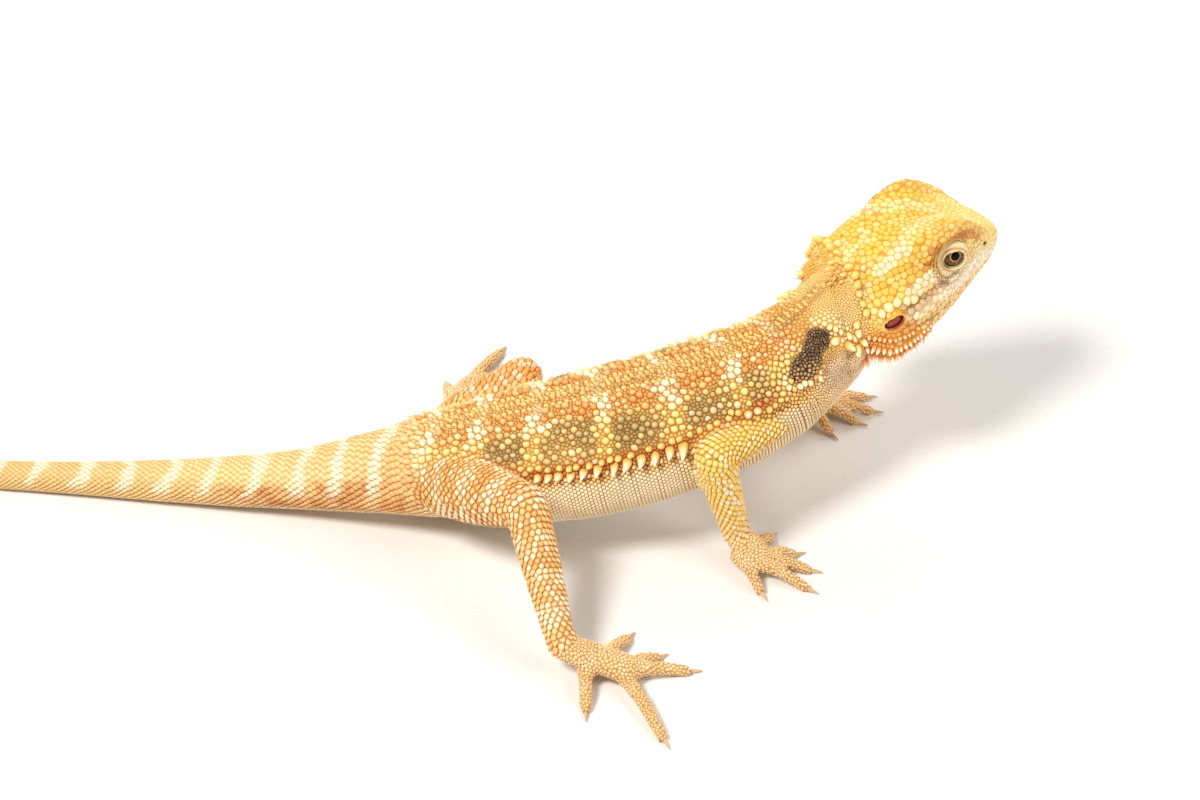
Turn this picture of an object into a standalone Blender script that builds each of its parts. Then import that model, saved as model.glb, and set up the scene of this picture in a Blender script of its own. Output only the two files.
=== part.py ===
"""A young bearded dragon as a still, life-size model: it stands on its toes and tail with its chest and head raised.

Every size below is in millimetres, and the objects are made in metres.
X runs from the tail to the head, Y to the animal's left, Z up, and the floor is at Z 0.
"""

import math

import bmesh
import bpy
import numpy as np
from mathutils import Matrix, Vector

MM = 0.001
GAP = 0.3  # left between neighbouring solids

# Spine: x, y, z of the middle, half width, half height, how far the widest level lies below the middle, roll.
SPINE = [
    (50.5, -15.2, 38.0, 6.8, 8.4, 0.0, 2),
    (44.6, -18.6, 34.0, 8.3, 10.7, 0.0, 4),
    (37.0, -24.0, 29.6, 10.6, 10.2, 0.05, 6),
    (28.5, -29.0, 25.5, 12.6, 10.5, 0.05, 8),
    (15.5, -33.5, 21.7, 14.4, 10.3, 0.05, 11),
    (0.0, -36.0, 18.1, 14.9, 10.3, 0.05, 13),
    (-15.0, -36.3, 15.0, 13.8, 9.7, 0.05, 12),
    (-29.0, -35.5, 12.3, 10.6, 8.8, 0.0, 8),
    (-39.0, -34.6, 10.0, 8.2, 7.6, 0.0, 4),
    (-54.5, -32.7, 6.6, 5.8, 5.5, 0.0, 0),
    (-73.0, -30.5, 4.4, 4.5, 4.4, 0.0, 0),
    (-92.0, -28.3, 3.2, 3.4, 3.3, 0.0, 0),
    (-111.0, -26.3, 2.6, 2.8, 2.7, 0.0, 0),
    (-150.0, -22.5, 1.9, 2.1, 2.0, 0.0, 0),
    (-188.0, -21.0, 1.3, 1.5, 1.4, 0.0, 0),
    (-218.0, -23.0, 0.7, 0.8, 0.8, 0.0, 0),
]
NECK_TO = 2.35  # stations where one length of the spine ends and the next begins
TRUNK_TO = 8.0
TAIL_BASE_TO = 10.0
TAIL_MIDDLE_TO = 12.5
TAIL_TO = len(SPINE) - 1.0

# Head: built along its own x from the snout tip at 0 back to the nape, then turned and set in place.
SNOUT_TIP = Vector((71.0, -2.8, 41.7))
SNOUT_POLE = Vector((1.8, 0, -1.5))
HEAD_YAW, HEAD_ROLL = 26.5, 1.5
# x, top z, then y and z of the brow, temple, cheek, jaw edge and throat, then bottom z
HEAD_SECTIONS = [
    (1.3, 0.7, 1.1, 0.4, 1.8, -0.6, 1.9, -1.7, 1.6, -2.8, 0.8, -3.4, -3.6),
    (-1.1, 2.7, 2.5, 2.6, 3.9, 0.8, 4.2, -1.7, 3.8, -3.9, 2.2, -5.2, -5.5),
    (-5.6, 4.9, 4.6, 5.4, 5.6, 1.9, 6.6, -1.9, 6.1, -5.5, 3.7, -7.0, -7.4),
    (-9.4, 6.4, 6.5, 7.6, 7.1, 2.8, 8.5, -2.1, 8.1, -6.6, 4.8, -8.4, -8.7),
    (-13.2, 7.5, 7.9, 9.0, 8.5, 3.4, 10.3, -2.3, 10.0, -7.7, 5.8, -9.6, -10.0),
    (-17.4, 7.9, 8.0, 8.6, 9.5, 3.6, 12.0, -2.6, 11.8, -8.8, 6.8, -10.8, -11.2),
    (-22.6, 7.3, 7.4, 7.1, 9.8, 2.6, 13.3, -3.2, 13.8, -9.9, 7.8, -11.8, -12.0),
    (-27.3, 6.3, 6.5, 5.3, 9.2, 1.1, 13.3, -4.1, 14.4, -10.5, 8.1, -12.1, -12.3),
    (-31.0, 4.9, 5.5, 3.6, 8.1, 0.0, 11.3, -4.5, 12.4, -10.3, 7.1, -11.7, -11.8),
    (-33.8, 3.2, 4.2, 2.1, 6.4, -0.8, 8.3, -4.5, 8.8, -9.0, 5.5, -10.2, -10.3),
]
MOUTH_FRONT, MOUTH_CORNER = (3.0, -2.4), (-22.6, -6.2)  # x, z of the line between the jaws
JAW_BACK, JAW_BOTTOM = -27.0, -18.0
EYE = Vector((-13.0, 6.9, 3.0))
EYE_RADIUS, LID_RADIUS = 3.0, 3.7
EYE_OPENING = (2.1, 1.8)  # half length, half height
EAR = Vector((-27.1, 13.0, -4.5))
EAR_HALF = Vector((2.2, 1.6, 1.2))
EAR_TURN = -22.0
EARDRUM_HALF, EARDRUM_DEPTH = Vector((1.6, 0.55, 0.8)), 0.75

# Limbs: shoulder or hip, elbow or knee, wrist or ankle, knuckles.
ARMS = {
    "right": ((34.2, -34.0, 24.4), (19.8, -47.3, 23.3), (24.4, -46.8, 5.4), (28.2, -50.4, 2.9)),
    "left": ((28.5, -21.5, 22.5), (22.8, -3.0, 15.0), (36.6, -7.4, 5.0), (41.2, -4.4, 2.9)),
}
LEGS = {
    "right": ((-29.0, -40.3, 12.3), (-12.8, -57.0, 20.0), (-6.4, -76.6, 5.2), (4.4, -79.2, 2.6)),
    "left": ((-30.5, -29.0, 9.5), (-14.2, -20.6, 20.6), (-27.0, -9.5, 5.2), (-24.5, 1.0, 2.6)),
}
ARM_RADII = (4.9, 4.2, 3.7, 3.5, 2.6)  # shoulder, middle of the upper arm, elbow, forearm, wrist
LEG_RADII = (6.2, 5.9, 4.0, 3.6, 2.6)  # hip, middle of the thigh, knee, shank, ankle
PALM_RADII, PALM_FLATNESS = (2.9, 2.7), 0.68

# Digits from the inner to the outer one: where the flesh of each ends on the floor.
HAND_TIPS = {
    "right": ((31.0, -42.2), (34.9, -46.9), (37.4, -51.3), (36.6, -56.2), (28.4, -57.2)),
    "left": ((43.6, -11.2), (48.8, -7.8), (51.9, -4.4), (51.2, 0.0), (45.0, 3.2)),
}
FOOT_TIPS = {
    "right": ((4.9, -69.4), (10.0, -74.4), (15.3, -77.8), (10.6, -94.6), (-2.4, -87.8)),
    "left": ((-15.8, -2.0), (-13.4, 3.8), (-14.2, 9.6), (-19.4, 15.0), (-29.6, 3.6)),
}
DIGIT_RADII = {"hand": (1.15, 0.8), "foot": (1.25, 0.85)}  # at the root and at the tip
DIGIT_ARCH = {"hand": 1.3, "foot": 0.9}
CLAW_LENGTH, CLAW_ROOT = 2.1, 0.45

SIDES = {"spine": 20, "head": 24, "limb": 10, "digit": 6}


def material(name, colour, roughness):
    """A Principled BSDF of that colour."""
    made = bpy.data.materials.new(name)
    made.use_nodes = True
    shader = made.node_tree.nodes["Principled BSDF"]
    shader.inputs["Base Color"].default_value = (*colour, 1.0)
    shader.inputs["Roughness"].default_value = roughness
    made.diffuse_color = (*colour, 1.0)
    return made


def smooth_step(before, a, b, after, t):
    """A point between a and b on the Catmull-Rom curve through the four."""
    return a + 0.5 * t * (
        b - before + t * (2 * before - 5 * a + 4 * b - after + t * (3 * (a - b) + after - before))
    )


def spline(rows, at):
    """The row at that place along the rows, with every column on a smooth curve."""
    rows = [np.array(r, float) for r in rows]
    i = min(int(at), len(rows) - 2)
    before = rows[i - 1] if i else 2 * rows[0] - rows[1]
    after = rows[i + 2] if i + 2 < len(rows) else 2 * rows[-1] - rows[-2]
    return smooth_step(before, rows[i], rows[i + 1], after, at - i)


def tangent(rows, at, step=0.02):
    low, high = max(at - step, 0), min(at + step, len(rows) - 1)
    return Vector(spline(rows, high)[:3] - spline(rows, low)[:3]).normalized()


def ring(middle, side, up, half_width, half_height, sag, sides):
    """One elliptical section, whose widest level is sag times its half height below the middle."""
    points = []
    for i in range(sides):
        c, s = math.cos(math.tau * i / sides), math.sin(math.tau * i / sides)
        points.append(middle + side * (half_width * c) + up * (half_height * (s - sag * c * c)))
    return points


def loft(name, rings, start=None, end=None):
    """A closed mesh through the rings. start and end are the points of round ends, or None for flat ones."""
    mesh = bmesh.new()
    loops = [[mesh.verts.new(p * MM) for p in points] for points in rings]
    for a, b in zip(loops, loops[1:]):
        for i in range(len(a)):
            j = (i + 1) % len(a)
            mesh.faces.new((a[i], a[j], b[j], b[i]))
    for loop, pole in ((loops[0], start), (loops[-1], end)):
        if pole is None:
            mesh.faces.new(loop)
            continue
        tip = mesh.verts.new(pole * MM)
        for i in range(len(loop)):
            mesh.faces.new((loop[i], loop[(i + 1) % len(loop)], tip))
    bmesh.ops.recalc_face_normals(mesh, faces=mesh.faces)
    data = bpy.data.meshes.new(name)
    mesh.to_mesh(data)
    mesh.free()
    made = bpy.data.objects.new(name, data)
    bpy.context.scene.collection.objects.link(made)
    return made


def spine_frame(at):
    """Middle, side and up directions of the spine at a station, and its row."""
    row = spline(SPINE, at)
    along = tangent(SPINE, at)
    side = along.cross(Vector((0, 0, 1))).normalized()
    side = Matrix.Rotation(math.radians(-row[6]), 3, along) @ side
    return Vector(row[:3]), side, side.cross(along).normalized(), row


def spine_length(name, start, end, count, grow=0.0, pole=None):
    """The spine's body from one station to another, with each half size larger by grow."""
    rings = []
    for at in np.linspace(start, end, count):
        middle, side, up, row = spine_frame(at)
        rings.append(ring(middle, side, up, row[3] + grow, row[4] + grow, row[5], SIDES["spine"]))
    return loft(name, rings, end=pole)


def tube(name, path, radii, sides, steps=3, flat=1.0, ends=(True, True)):
    """A limb or digit along a smooth path. flat is its height over its width, ends says which are round."""
    rows = [(*p, r) for p, r in zip(path, radii)]
    rings = []
    for at in np.linspace(0, len(rows) - 1, steps * (len(rows) - 1) + 1):
        row = spline(rows, at)
        along = tangent(rows, at)
        side = along.cross(Vector((0.02, 0.01, 1))).normalized()
        rings.append((Vector(row[:3]), along, side, side.cross(along), row[3]))
    sections = [ring(m, side, up, r, r * flat, 0, sides) for m, _, side, up, r in rings]
    poles = [None, None]
    for i, sign in ((0, -1), (1, 1)):
        if not ends[i]:
            continue
        m, along, side, up, r = rings[-i]
        caps = []
        for angle in (30, 60):
            c, s = math.cos(math.radians(angle)), math.sin(math.radians(angle))
            caps.append(ring(m + along * (sign * r * s), side, up, r * c, r * c * flat, 0, sides))
        sections = sections + caps if i else caps[::-1] + sections
        poles[i] = m + along * (sign * r)
    return loft(name, sections, *poles)


def apply(obj):
    """Makes the object's evaluated mesh its own."""
    graph = bpy.context.evaluated_depsgraph_get()
    made = bpy.data.meshes.new_from_object(obj.evaluated_get(graph))
    obj.modifiers.clear()
    obj.data = made
    return obj


def combine(obj, other, operation, keep=False):
    """Joins another solid to this one, or cuts it away, and removes it unless it is kept."""
    modifier = obj.modifiers.new(operation.lower(), "BOOLEAN")
    modifier.operation = operation
    modifier.object = other
    modifier.solver = "EXACT"
    apply(obj)
    if not keep:
        bpy.data.objects.remove(other)
    return obj


def cut(obj, point, normal):
    """Takes away what lies on the normal's side of a plane, and closes the cut."""
    mesh = bmesh.new()
    mesh.from_mesh(obj.data)
    made = bmesh.ops.bisect_plane(
        mesh,
        geom=[*mesh.verts, *mesh.edges, *mesh.faces],
        dist=1e-7,
        plane_co=point * MM,
        plane_no=normal,
        clear_outer=True,
    )
    rim = [e for e in made["geom_cut"] if isinstance(e, bmesh.types.BMEdge)]
    bmesh.ops.holes_fill(mesh, edges=rim, sides=0)
    bmesh.ops.recalc_face_normals(mesh, faces=mesh.faces)
    mesh.to_mesh(obj.data)
    mesh.free()
    return obj


def stand(obj):
    """Cuts off what lies below the floor, which leaves a small flat."""
    return cut(obj, Vector((0, 0, 0)), Vector((0, 0, -1)))


def finish(obj, shade):
    obj.data.materials.clear()
    obj.data.materials.append(shade)
    obj.data.shade_smooth()
    return obj


def ball(name, middle, half, turn=0.0, segments=16, rings=8):
    """An ellipsoid. turn tilts it about y."""
    bpy.ops.mesh.primitive_uv_sphere_add(segments=segments, ring_count=rings, radius=1.0)
    made = bpy.context.object
    made.name = made.data.name = name
    place = Matrix.Translation(middle * MM) @ Matrix.Rotation(math.radians(turn), 4, "Y")
    made.data.transform(place @ Matrix.Diagonal((*[h * MM for h in half], 1.0)))
    return made


def head_section(at):
    """One section of the head: its cage points, with a smooth one between each two."""
    x, top, *pairs, bottom = spline(HEAD_SECTIONS, at)
    side = [(pairs[i], pairs[i + 1]) for i in range(0, 10, 2)]
    cage = [(0, top), *side, (0, bottom), *[(-y, z) for y, z in reversed(side)]]
    cage = [np.array((x, y, z)) for y, z in cage]
    points = []
    for i in range(SIDES["head"]):
        at = i * len(cage) / SIDES["head"]
        k = int(at)
        four = [cage[(k + j) % len(cage)] for j in (-1, 0, 1, 2)]
        points.append(Vector(smooth_step(*four, at - k)))
    return points


def prism(name, outline, half_width):
    """A solid across the head's whole width, from an outline of x, z points."""
    rings = [[Vector((x, y, z)) for x, z in outline] for y in (-half_width, half_width)]
    return loft(name, rings)


def jaw_prism(name, grow):
    """What lies below the mouth line."""
    (fx, fz), (cx, cz) = MOUTH_FRONT, MOUTH_CORNER
    back = JAW_BACK - grow
    return prism(name, [(fx, fz + grow), (cx, cz + grow), (back, cz - 1.5), (back, JAW_BOTTOM), (fx, JAW_BOTTOM)], 20)


def build_head(shades):
    """Head, lower jaw, eyes in their lids and eardrums in their pits."""
    stations = np.linspace(0, len(HEAD_SECTIONS) - 1, 2 * len(HEAD_SECTIONS) + 1)
    head = loft("head", [head_section(at) for at in stations], start=SNOUT_POLE)
    extras = []
    for side, sign in (("right", -1), ("left", 1)):
        mirror = Matrix.Diagonal((1, sign, 1))
        eye, ear = mirror @ EYE, mirror @ EAR
        outwards = Vector((0, sign, 0))
        combine(head, ball("lids", eye, (LID_RADIUS,) * 3), "UNION")
        combine(head, ball("socket", eye, (EYE_RADIUS + GAP,) * 3), "DIFFERENCE")
        half_length, half_height = EYE_OPENING
        slit = ball("slit", eye + outwards * LID_RADIUS, (half_length, 3.0, half_height))
        combine(head, slit, "DIFFERENCE")
        combine(head, ball("pit", ear, EAR_HALF, EAR_TURN, 12, 6), "DIFFERENCE")
        drum = ball("eardrum_" + side, ear - outwards * EARDRUM_DEPTH, EARDRUM_HALF, EAR_TURN, 12, 6)
        extras.append(finish(ball("eye_" + side, eye, (EYE_RADIUS,) * 3), shades["eye"]))
        extras.append(finish(drum, shades["eardrum"]))
    jaw = bpy.data.objects.new("lower_jaw", head.data.copy())
    bpy.context.scene.collection.objects.link(jaw)
    combine(jaw, jaw_prism("jaw_space", 0.0), "INTERSECT")
    combine(head, jaw_prism("jaw_clearance", GAP), "DIFFERENCE")
    turn = Matrix.Rotation(math.radians(HEAD_YAW), 4, "Z") @ Matrix.Rotation(math.radians(HEAD_ROLL), 4, "X")
    for obj in (head, jaw, *extras):
        obj.data.transform(Matrix.Translation(SNOUT_TIP * MM) @ turn)
    for obj in (head, jaw):
        combine(obj, spine_length("nape", 0.0, 3.0, 10, GAP), "DIFFERENCE")
        finish(obj, shades["head"])


def build_limb(joints, radii, names, shade, body):
    """Upper and lower length of a limb, parted at the elbow or knee and clear of the trunk."""
    root, bend, end, _ = (Vector(j) for j in joints)
    upper = tube(names[0], [root, (root + bend) / 2, bend], radii[:3], SIDES["limb"])
    lower = tube(names[1], [bend, bend.lerp(end, 0.4), end], radii[2:], SIDES["limb"])
    normal = ((end - bend).normalized() - (root - bend).normalized()).normalized()
    cut(upper, bend - normal * (GAP / 2), normal)
    cut(lower, bend + normal * (GAP / 2), -normal)
    for obj in (upper, lower):
        combine(obj, body, "DIFFERENCE", keep=True)
        finish(obj, shade)
    return lower


def build_claw(name, start, along, shade):
    """A claw that goes on from a digit's end and curves down to the floor."""
    side = along.cross(Vector((0, 0, 1))).normalized()
    level = along - Vector((0, 0, along.z))
    level.normalize()
    drop = start.z - 0.3
    rings = []
    for t, share in ((0.0, 1.0), (0.35, 0.8), (0.7, 0.5), (0.93, 0.25)):
        middle = start + level * (CLAW_LENGTH * t) - Vector((0, 0, drop * t * t))
        facing = (level * CLAW_LENGTH - Vector((0, 0, 2 * drop * t))).normalized()
        r = CLAW_ROOT * share
        rings.append(ring(middle, side, side.cross(facing), r * 0.75, r, 0, SIDES["digit"]))
    tip = start + level * CLAW_LENGTH - Vector((0, 0, drop))
    return finish(loft(name, rings, end=tip), shade)


def build_paw(kind, side_name, joints, tips, wrist_radius, shades, lower):
    """A hand or foot with its five digits in one piece, and a claw on each."""
    bend, wrist, knuckle = (Vector(j) for j in joints[1:])
    forward = (knuckle - wrist).normalized()
    across = Vector((forward.y, -forward.x, 0)).normalized()
    if Vector((tips[0][0] - tips[4][0], tips[0][1] - tips[4][1], 0)).dot(across) < 0:
        across = -across
    name = f"{kind}_{side_name}"
    radii = (wrist_radius, *PALM_RADII)
    palm = tube(name, [wrist, wrist.lerp(knuckle, 0.6), knuckle], radii, SIDES["limb"], 2, PALM_FLATNESS)
    root_radius, tip_radius = DIGIT_RADII[kind]
    places = ((0.6, 1.9), (1.0, 1.2), (1.05, 0.0), (1.0, -1.25), (0.4, -1.9))
    for i, (tip, (share, aside)) in enumerate(zip(tips, places)):
        start = wrist.lerp(knuckle, share) + across * aside
        start.z = knuckle.z - 0.9
        stop = Vector((*tip, tip_radius * 0.75))
        towards = (stop - start).normalized()
        middle = start.lerp(stop, 0.45) + Vector((0, 0, DIGIT_ARCH[kind]))
        path = [start - towards * 1.2, start, middle, stop]
        widths = (root_radius, root_radius, (root_radius + tip_radius) / 2, tip_radius)
        digit = tube("digit", path, widths, SIDES["digit"], 2, 1.0, (False, False))
        combine(palm, digit, "UNION")
        along = tangent([(*p, 0) for p in path], 2.98)
        root = stop + along * GAP
        root.z = max(root.z, CLAW_ROOT + 0.1)
        build_claw(f"{name}_claw_{i + 1}", root, along, shades["claw"])
    normal = (forward + (wrist - bend).normalized()).normalized()
    cut(palm, wrist + normal * (GAP / 2), -normal)
    cut(lower, wrist - normal * (GAP / 2), normal)
    stand(palm)
    finish(palm, shades["limb"])


def build_spine(shades):
    """Neck, trunk and three lengths of tail, parted by thin gaps."""
    step = 0.015
    finish(spine_length("neck", 0.3, NECK_TO - step, 8), shades["trunk"])
    finish(spine_length("trunk", NECK_TO + step, TRUNK_TO - step, 18), shades["trunk"])
    base = spine_length("tail_base", TRUNK_TO + step, TAIL_BASE_TO - step, 8)
    middle = spine_length("tail_middle", TAIL_BASE_TO + step, TAIL_MIDDLE_TO - step / 2, 8)
    tip = Vector(SPINE[-1][:3]) + tangent(SPINE, TAIL_TO) * SPINE[-1][3]
    end = spine_length("tail_end", TAIL_MIDDLE_TO + step / 2, TAIL_TO, 8, pole=tip)
    for obj in (base, middle, end):
        stand(finish(obj, shades["tail"]))


def centre_on_floor(nodes):
    """Moves the whole model so that its origin is the bottom centre of its box."""
    points = [v.co for obj in nodes for v in obj.data.vertices]
    low = Vector([min(p[i] for p in points) for i in range(3)])
    high = Vector([max(p[i] for p in points) for i in range(3)])
    move = -Vector(((low.x + high.x) / 2, (low.y + high.y) / 2, low.z))
    for obj in nodes:
        obj.data.transform(Matrix.Translation(move))
    print("moved by", [round(v / MM, 3) for v in move])


def main():
    for obj in list(bpy.data.objects):
        bpy.data.objects.remove(obj)
    shades = {
        "head": material("head_skin", (0.86, 0.62, 0.22), 0.6),
        "trunk": material("trunk_skin", (0.78, 0.52, 0.24), 0.65),
        "tail": material("tail_skin", (0.86, 0.62, 0.36), 0.65),
        "limb": material("limb_skin", (0.85, 0.60, 0.32), 0.65),
        "eye": material("eye", (0.12, 0.07, 0.03), 0.1),
        "eardrum": material("eardrum", (0.33, 0.06, 0.03), 0.5),
        "claw": material("claw", (0.55, 0.38, 0.22), 0.4),
    }
    build_spine(shades)
    build_head(shades)
    body = spine_length("body_space", 0.3, TAIL_TO - 3, 48, GAP)
    for side in ("right", "left"):
        names = (f"upper_arm_{side}", f"forearm_{side}")
        lower = build_limb(ARMS[side], ARM_RADII, names, shades["limb"], body)
        build_paw("hand", side, ARMS[side], HAND_TIPS[side], ARM_RADII[-1], shades, lower)
        names = (f"thigh_{side}", f"shank_{side}")
        lower = build_limb(LEGS[side], LEG_RADII, names, shades["limb"], body)
        build_paw("foot", side, LEGS[side], FOOT_TIPS[side], LEG_RADII[-1], shades, lower)
    bpy.data.objects.remove(body)
    model = bpy.data.collections.new("bearded_dragon")
    bpy.context.scene.collection.children.link(model)
    nodes = list(bpy.data.objects)
    for obj in nodes:
        for holder in obj.users_collection:
            holder.objects.unlink(obj)
        model.objects.link(obj)
    centre_on_floor(nodes)


main()
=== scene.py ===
"""A young bearded dragon, as a still life-size model.

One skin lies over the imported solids, and the scales are mesh on that skin. Sizes are in millimetres in the
pose frame, where X runs from the tail to the head and the floor is at Z 0. The pieces are made in metres, in
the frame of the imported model.
"""

import math

import bmesh
import bpy
import numpy as np
from mathutils import Matrix, Vector
from mathutils.bvhtree import BVHTree
from mathutils.kdtree import KDTree


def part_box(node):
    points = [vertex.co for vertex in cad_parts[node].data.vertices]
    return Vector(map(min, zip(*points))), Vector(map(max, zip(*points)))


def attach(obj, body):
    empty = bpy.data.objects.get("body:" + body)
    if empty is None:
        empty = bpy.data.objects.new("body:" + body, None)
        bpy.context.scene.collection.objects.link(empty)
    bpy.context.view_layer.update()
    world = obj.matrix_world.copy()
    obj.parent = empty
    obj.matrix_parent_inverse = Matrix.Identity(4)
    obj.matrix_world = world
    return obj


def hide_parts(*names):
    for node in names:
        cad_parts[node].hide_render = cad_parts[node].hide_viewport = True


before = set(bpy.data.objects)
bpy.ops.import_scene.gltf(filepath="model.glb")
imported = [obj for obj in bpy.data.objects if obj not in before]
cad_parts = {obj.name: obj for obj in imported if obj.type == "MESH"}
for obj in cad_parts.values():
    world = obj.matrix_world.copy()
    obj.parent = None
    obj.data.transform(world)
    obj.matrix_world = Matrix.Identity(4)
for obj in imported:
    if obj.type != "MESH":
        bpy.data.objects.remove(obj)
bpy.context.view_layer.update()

MM = 0.001
SEED = 20261122
DRAW = np.random.default_rng(SEED)
FAR = 9.0  # what a measure of nearness to eye, ear or mouth says everywhere else

# Spine: x, y, z of the middle, half width, half height, roll.
SPINE = [
    (50.5, -15.2, 38.0, 6.8, 8.4, 2),
    (44.6, -18.6, 34.0, 8.3, 10.7, 4),
    (37.0, -24.0, 29.6, 10.6, 10.2, 6),
    (28.5, -29.0, 25.5, 12.6, 10.5, 8),
    (15.5, -33.5, 21.7, 14.4, 10.3, 11),
    (0.0, -36.0, 18.1, 14.9, 10.3, 13),
    (-15.0, -36.3, 15.0, 13.8, 9.7, 12),
    (-29.0, -35.5, 12.3, 10.6, 8.8, 8),
    (-39.0, -34.6, 10.0, 8.2, 7.6, 4),
    (-54.5, -32.7, 6.6, 5.8, 5.5, 0),
    (-73.0, -30.5, 4.4, 4.5, 4.4, 0),
    (-92.0, -28.3, 3.2, 3.4, 3.3, 0),
    (-111.0, -26.3, 2.6, 2.8, 2.7, 0),
    (-150.0, -22.5, 1.9, 2.1, 2.0, 0),
    (-188.0, -21.0, 1.3, 1.5, 1.4, 0),
    (-218.0, -23.0, 0.7, 0.8, 0.8, 0),
]
SNOUT_TIP = np.array((71.0, -2.8, 41.7))
HEAD_YAW, HEAD_ROLL = 26.5, 1.5
HEAD_MIDDLE = -2.0  # height in the head's frame that girth turns round
EYE, EYE_RADIUS = np.array((-13.0, 6.9, 3.0)), 3.0
# Half length and half height of the eye opening, where reach is 1, and one step of reach further out.
LID_OPENING, LID_CREASE = (2.05, 1.76), (3.6, 3.55)
EAR, EAR_HALVES, EAR_TILT = np.array((-27.1, 13.0, -4.5)), (2.0, 1.05), math.radians(22)
MOUTH = ((3.0, -2.4), (-22.6, -6.2))
NOSTRIL = np.array((-4.0, 4.4, 0.6))

# Shoulder or hip, elbow or knee, wrist or ankle, knuckles, each with the limb's half width there.
LIMBS = {
    "arm_right": (
        (34.2, -34.0, 24.4, 4.9), (19.8, -47.3, 23.3, 3.7), (24.4, -46.8, 5.4, 2.6), (28.2, -50.4, 2.9, 2.7)
    ),
    "arm_left": (
        (28.5, -21.5, 22.5, 4.9), (22.8, -3.0, 15.0, 3.7), (36.6, -7.4, 5.0, 2.6), (41.2, -4.4, 2.9, 2.7)
    ),
    "leg_right": (
        (-29.0, -40.3, 12.3, 6.2), (-12.8, -57.0, 20.0, 4.0), (-6.4, -76.6, 5.2, 2.6), (4.4, -79.2, 2.6, 2.7)
    ),
    "leg_left": (
        (-30.5, -29.0, 9.5, 6.2), (-14.2, -20.6, 20.6, 4.0), (-27.0, -9.5, 5.2, 2.6), (-24.5, 1.0, 2.6, 2.7)
    ),
}
# Where the digits end on the floor, and where they start between the wrist, at 0, and the knuckles, at 1.
TIPS = {
    "arm_right": ((31.0, -42.2), (34.9, -46.9), (37.4, -51.3), (36.6, -56.2), (28.4, -57.2)),
    "arm_left": ((43.6, -11.2), (48.8, -7.8), (51.9, -4.4), (51.2, 0.0), (45.0, 3.2)),
    "leg_right": ((4.9, -69.4), (10.0, -74.4), (15.3, -77.8), (10.6, -94.6), (-2.4, -87.8)),
    "leg_left": ((-15.8, -2.0), (-13.4, 3.8), (-14.2, 9.6), (-19.4, 15.0), (-29.6, 3.6)),
}
TIP_HEIGHT, DIGIT_STARTS = 0.6, (0.6, 1.0, 1.05, 1.0, 0.4)

VOXEL = 0.58
SWELL = 0.35  # the solids grow by this before they are made one, so that the gaps between them close
COAT_DEPTH = 0.3
FLOOR_GAP, SCALE_GAP = 0.02, 0.01  # how near the floor the skin and its scales reach
EYE_FILL, EAR_FILL, EAR_INSET = 3.7, 2.0, 1.1  # balls that close the eye sockets and the ear pits
LID_RADIUS, OPENING_RADIUS = 3.5, 2.55  # from the middle of the eyeball


# ---------------------------------------------------------------- numbers


def rgb(red, green, blue):
    """A screen colour as linear light."""
    c = np.array((red, green, blue), float) / 255
    return np.where(c <= 0.04045, c / 12.92, ((c + 0.055) / 1.055) ** 2.4)


def unit(v):
    return v / np.maximum(np.linalg.norm(v, axis=-1, keepdims=True), 1e-9)


def dot(a, b):
    return (a * b).sum(-1)


def ramp(x, low, high):
    """0 below low, 1 above high, smooth between."""
    t = np.clip((x - low) / (high - low), 0, 1)
    return t * t * (3 - 2 * t)


def between(x, low, high, soft):
    return ramp(x, low - soft, low + soft) * (1 - ramp(x, high - soft, high + soft))


def hump(x, middle, width):
    """1 at the middle, falling off to both sides over the width."""
    return np.exp(-(((x - middle) / width) ** 2))


def clamp(x):
    """x kept from 0 to 1."""
    return np.clip(x, 0, 1)


def whole_number_draw(ix, iy, iz, seed):
    """A steady number from 0 to 1 for each whole-number place."""
    h = (ix * 374761393 + iy * 668265263 + iz * 1440662683 + seed * 974711 + 77) & 0xFFFFFFFF
    h = ((h ^ (h >> 13)) * 1274126177) & 0xFFFFFFFF
    h = ((h ^ (h >> 15)) * 2246822519) & 0xFFFFFFFF
    return ((h ^ (h >> 16)) & 0xFFFF) / 65535.0


def noise(points, size, seed):
    """Smooth noise from -1 to 1, with bumps about size across."""
    p = points / size
    low = np.floor(p).astype(np.int64)
    f = p - low
    f = f * f * (3 - 2 * f)
    total = 0
    for corner in range(8):
        offset = np.array([(corner >> k) & 1 for k in range(3)])
        weight = np.prod(np.where(offset, f, 1 - f), axis=1)
        c = low + offset
        total = total + weight * whole_number_draw(c[:, 0], c[:, 1], c[:, 2], seed)
    return 2 * total - 1


def over(base, colour, amount):
    """colour laid over base, as strongly as amount says at each point."""
    return base + (colour - base) * clamp(amount)[:, None]


def layered(base, *layers):
    """Colours laid over base one after the other, each given with its amount."""
    for colour, amount in layers:
        base = over(base, colour, amount)
    return base


def near_line(x, y, line, width, squash=0.17):
    """How near each point lies to a line of x, y places, with y squashed: 1 on it, 0 beyond its width."""
    best = np.full(len(x), 1e9)
    for (x0, y0), (x1, y1) in zip(line, line[1:]):
        dx, dy = x1 - x0, (y1 - y0) * squash
        t = clamp(((x - x0) * dx + (y - y0) * squash * dy) / (dx * dx + dy * dy))
        best = np.minimum(best, np.hypot(x - x0 - t * dx, (y - y0) * squash - t * dy))
    return 1 - ramp(best, width * 0.55, width * 1.25)


# ---------------------------------------------------------------- body coordinates


def spline(rows, at):
    """Catmull-Rom values of all columns at many places along the rows."""
    rows = np.vstack([2 * rows[0] - rows[1], rows, 2 * rows[-1] - rows[-2]])
    i = np.clip(at.astype(int), 0, len(rows) - 4)
    t = (at - i)[:, None]
    a, b, c, d = rows[i], rows[i + 1], rows[i + 2], rows[i + 3]
    return b + 0.5 * t * (c - a + t * (2 * a - 5 * b + 4 * c - d + t * (3 * (b - c) + d - a)))


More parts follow.
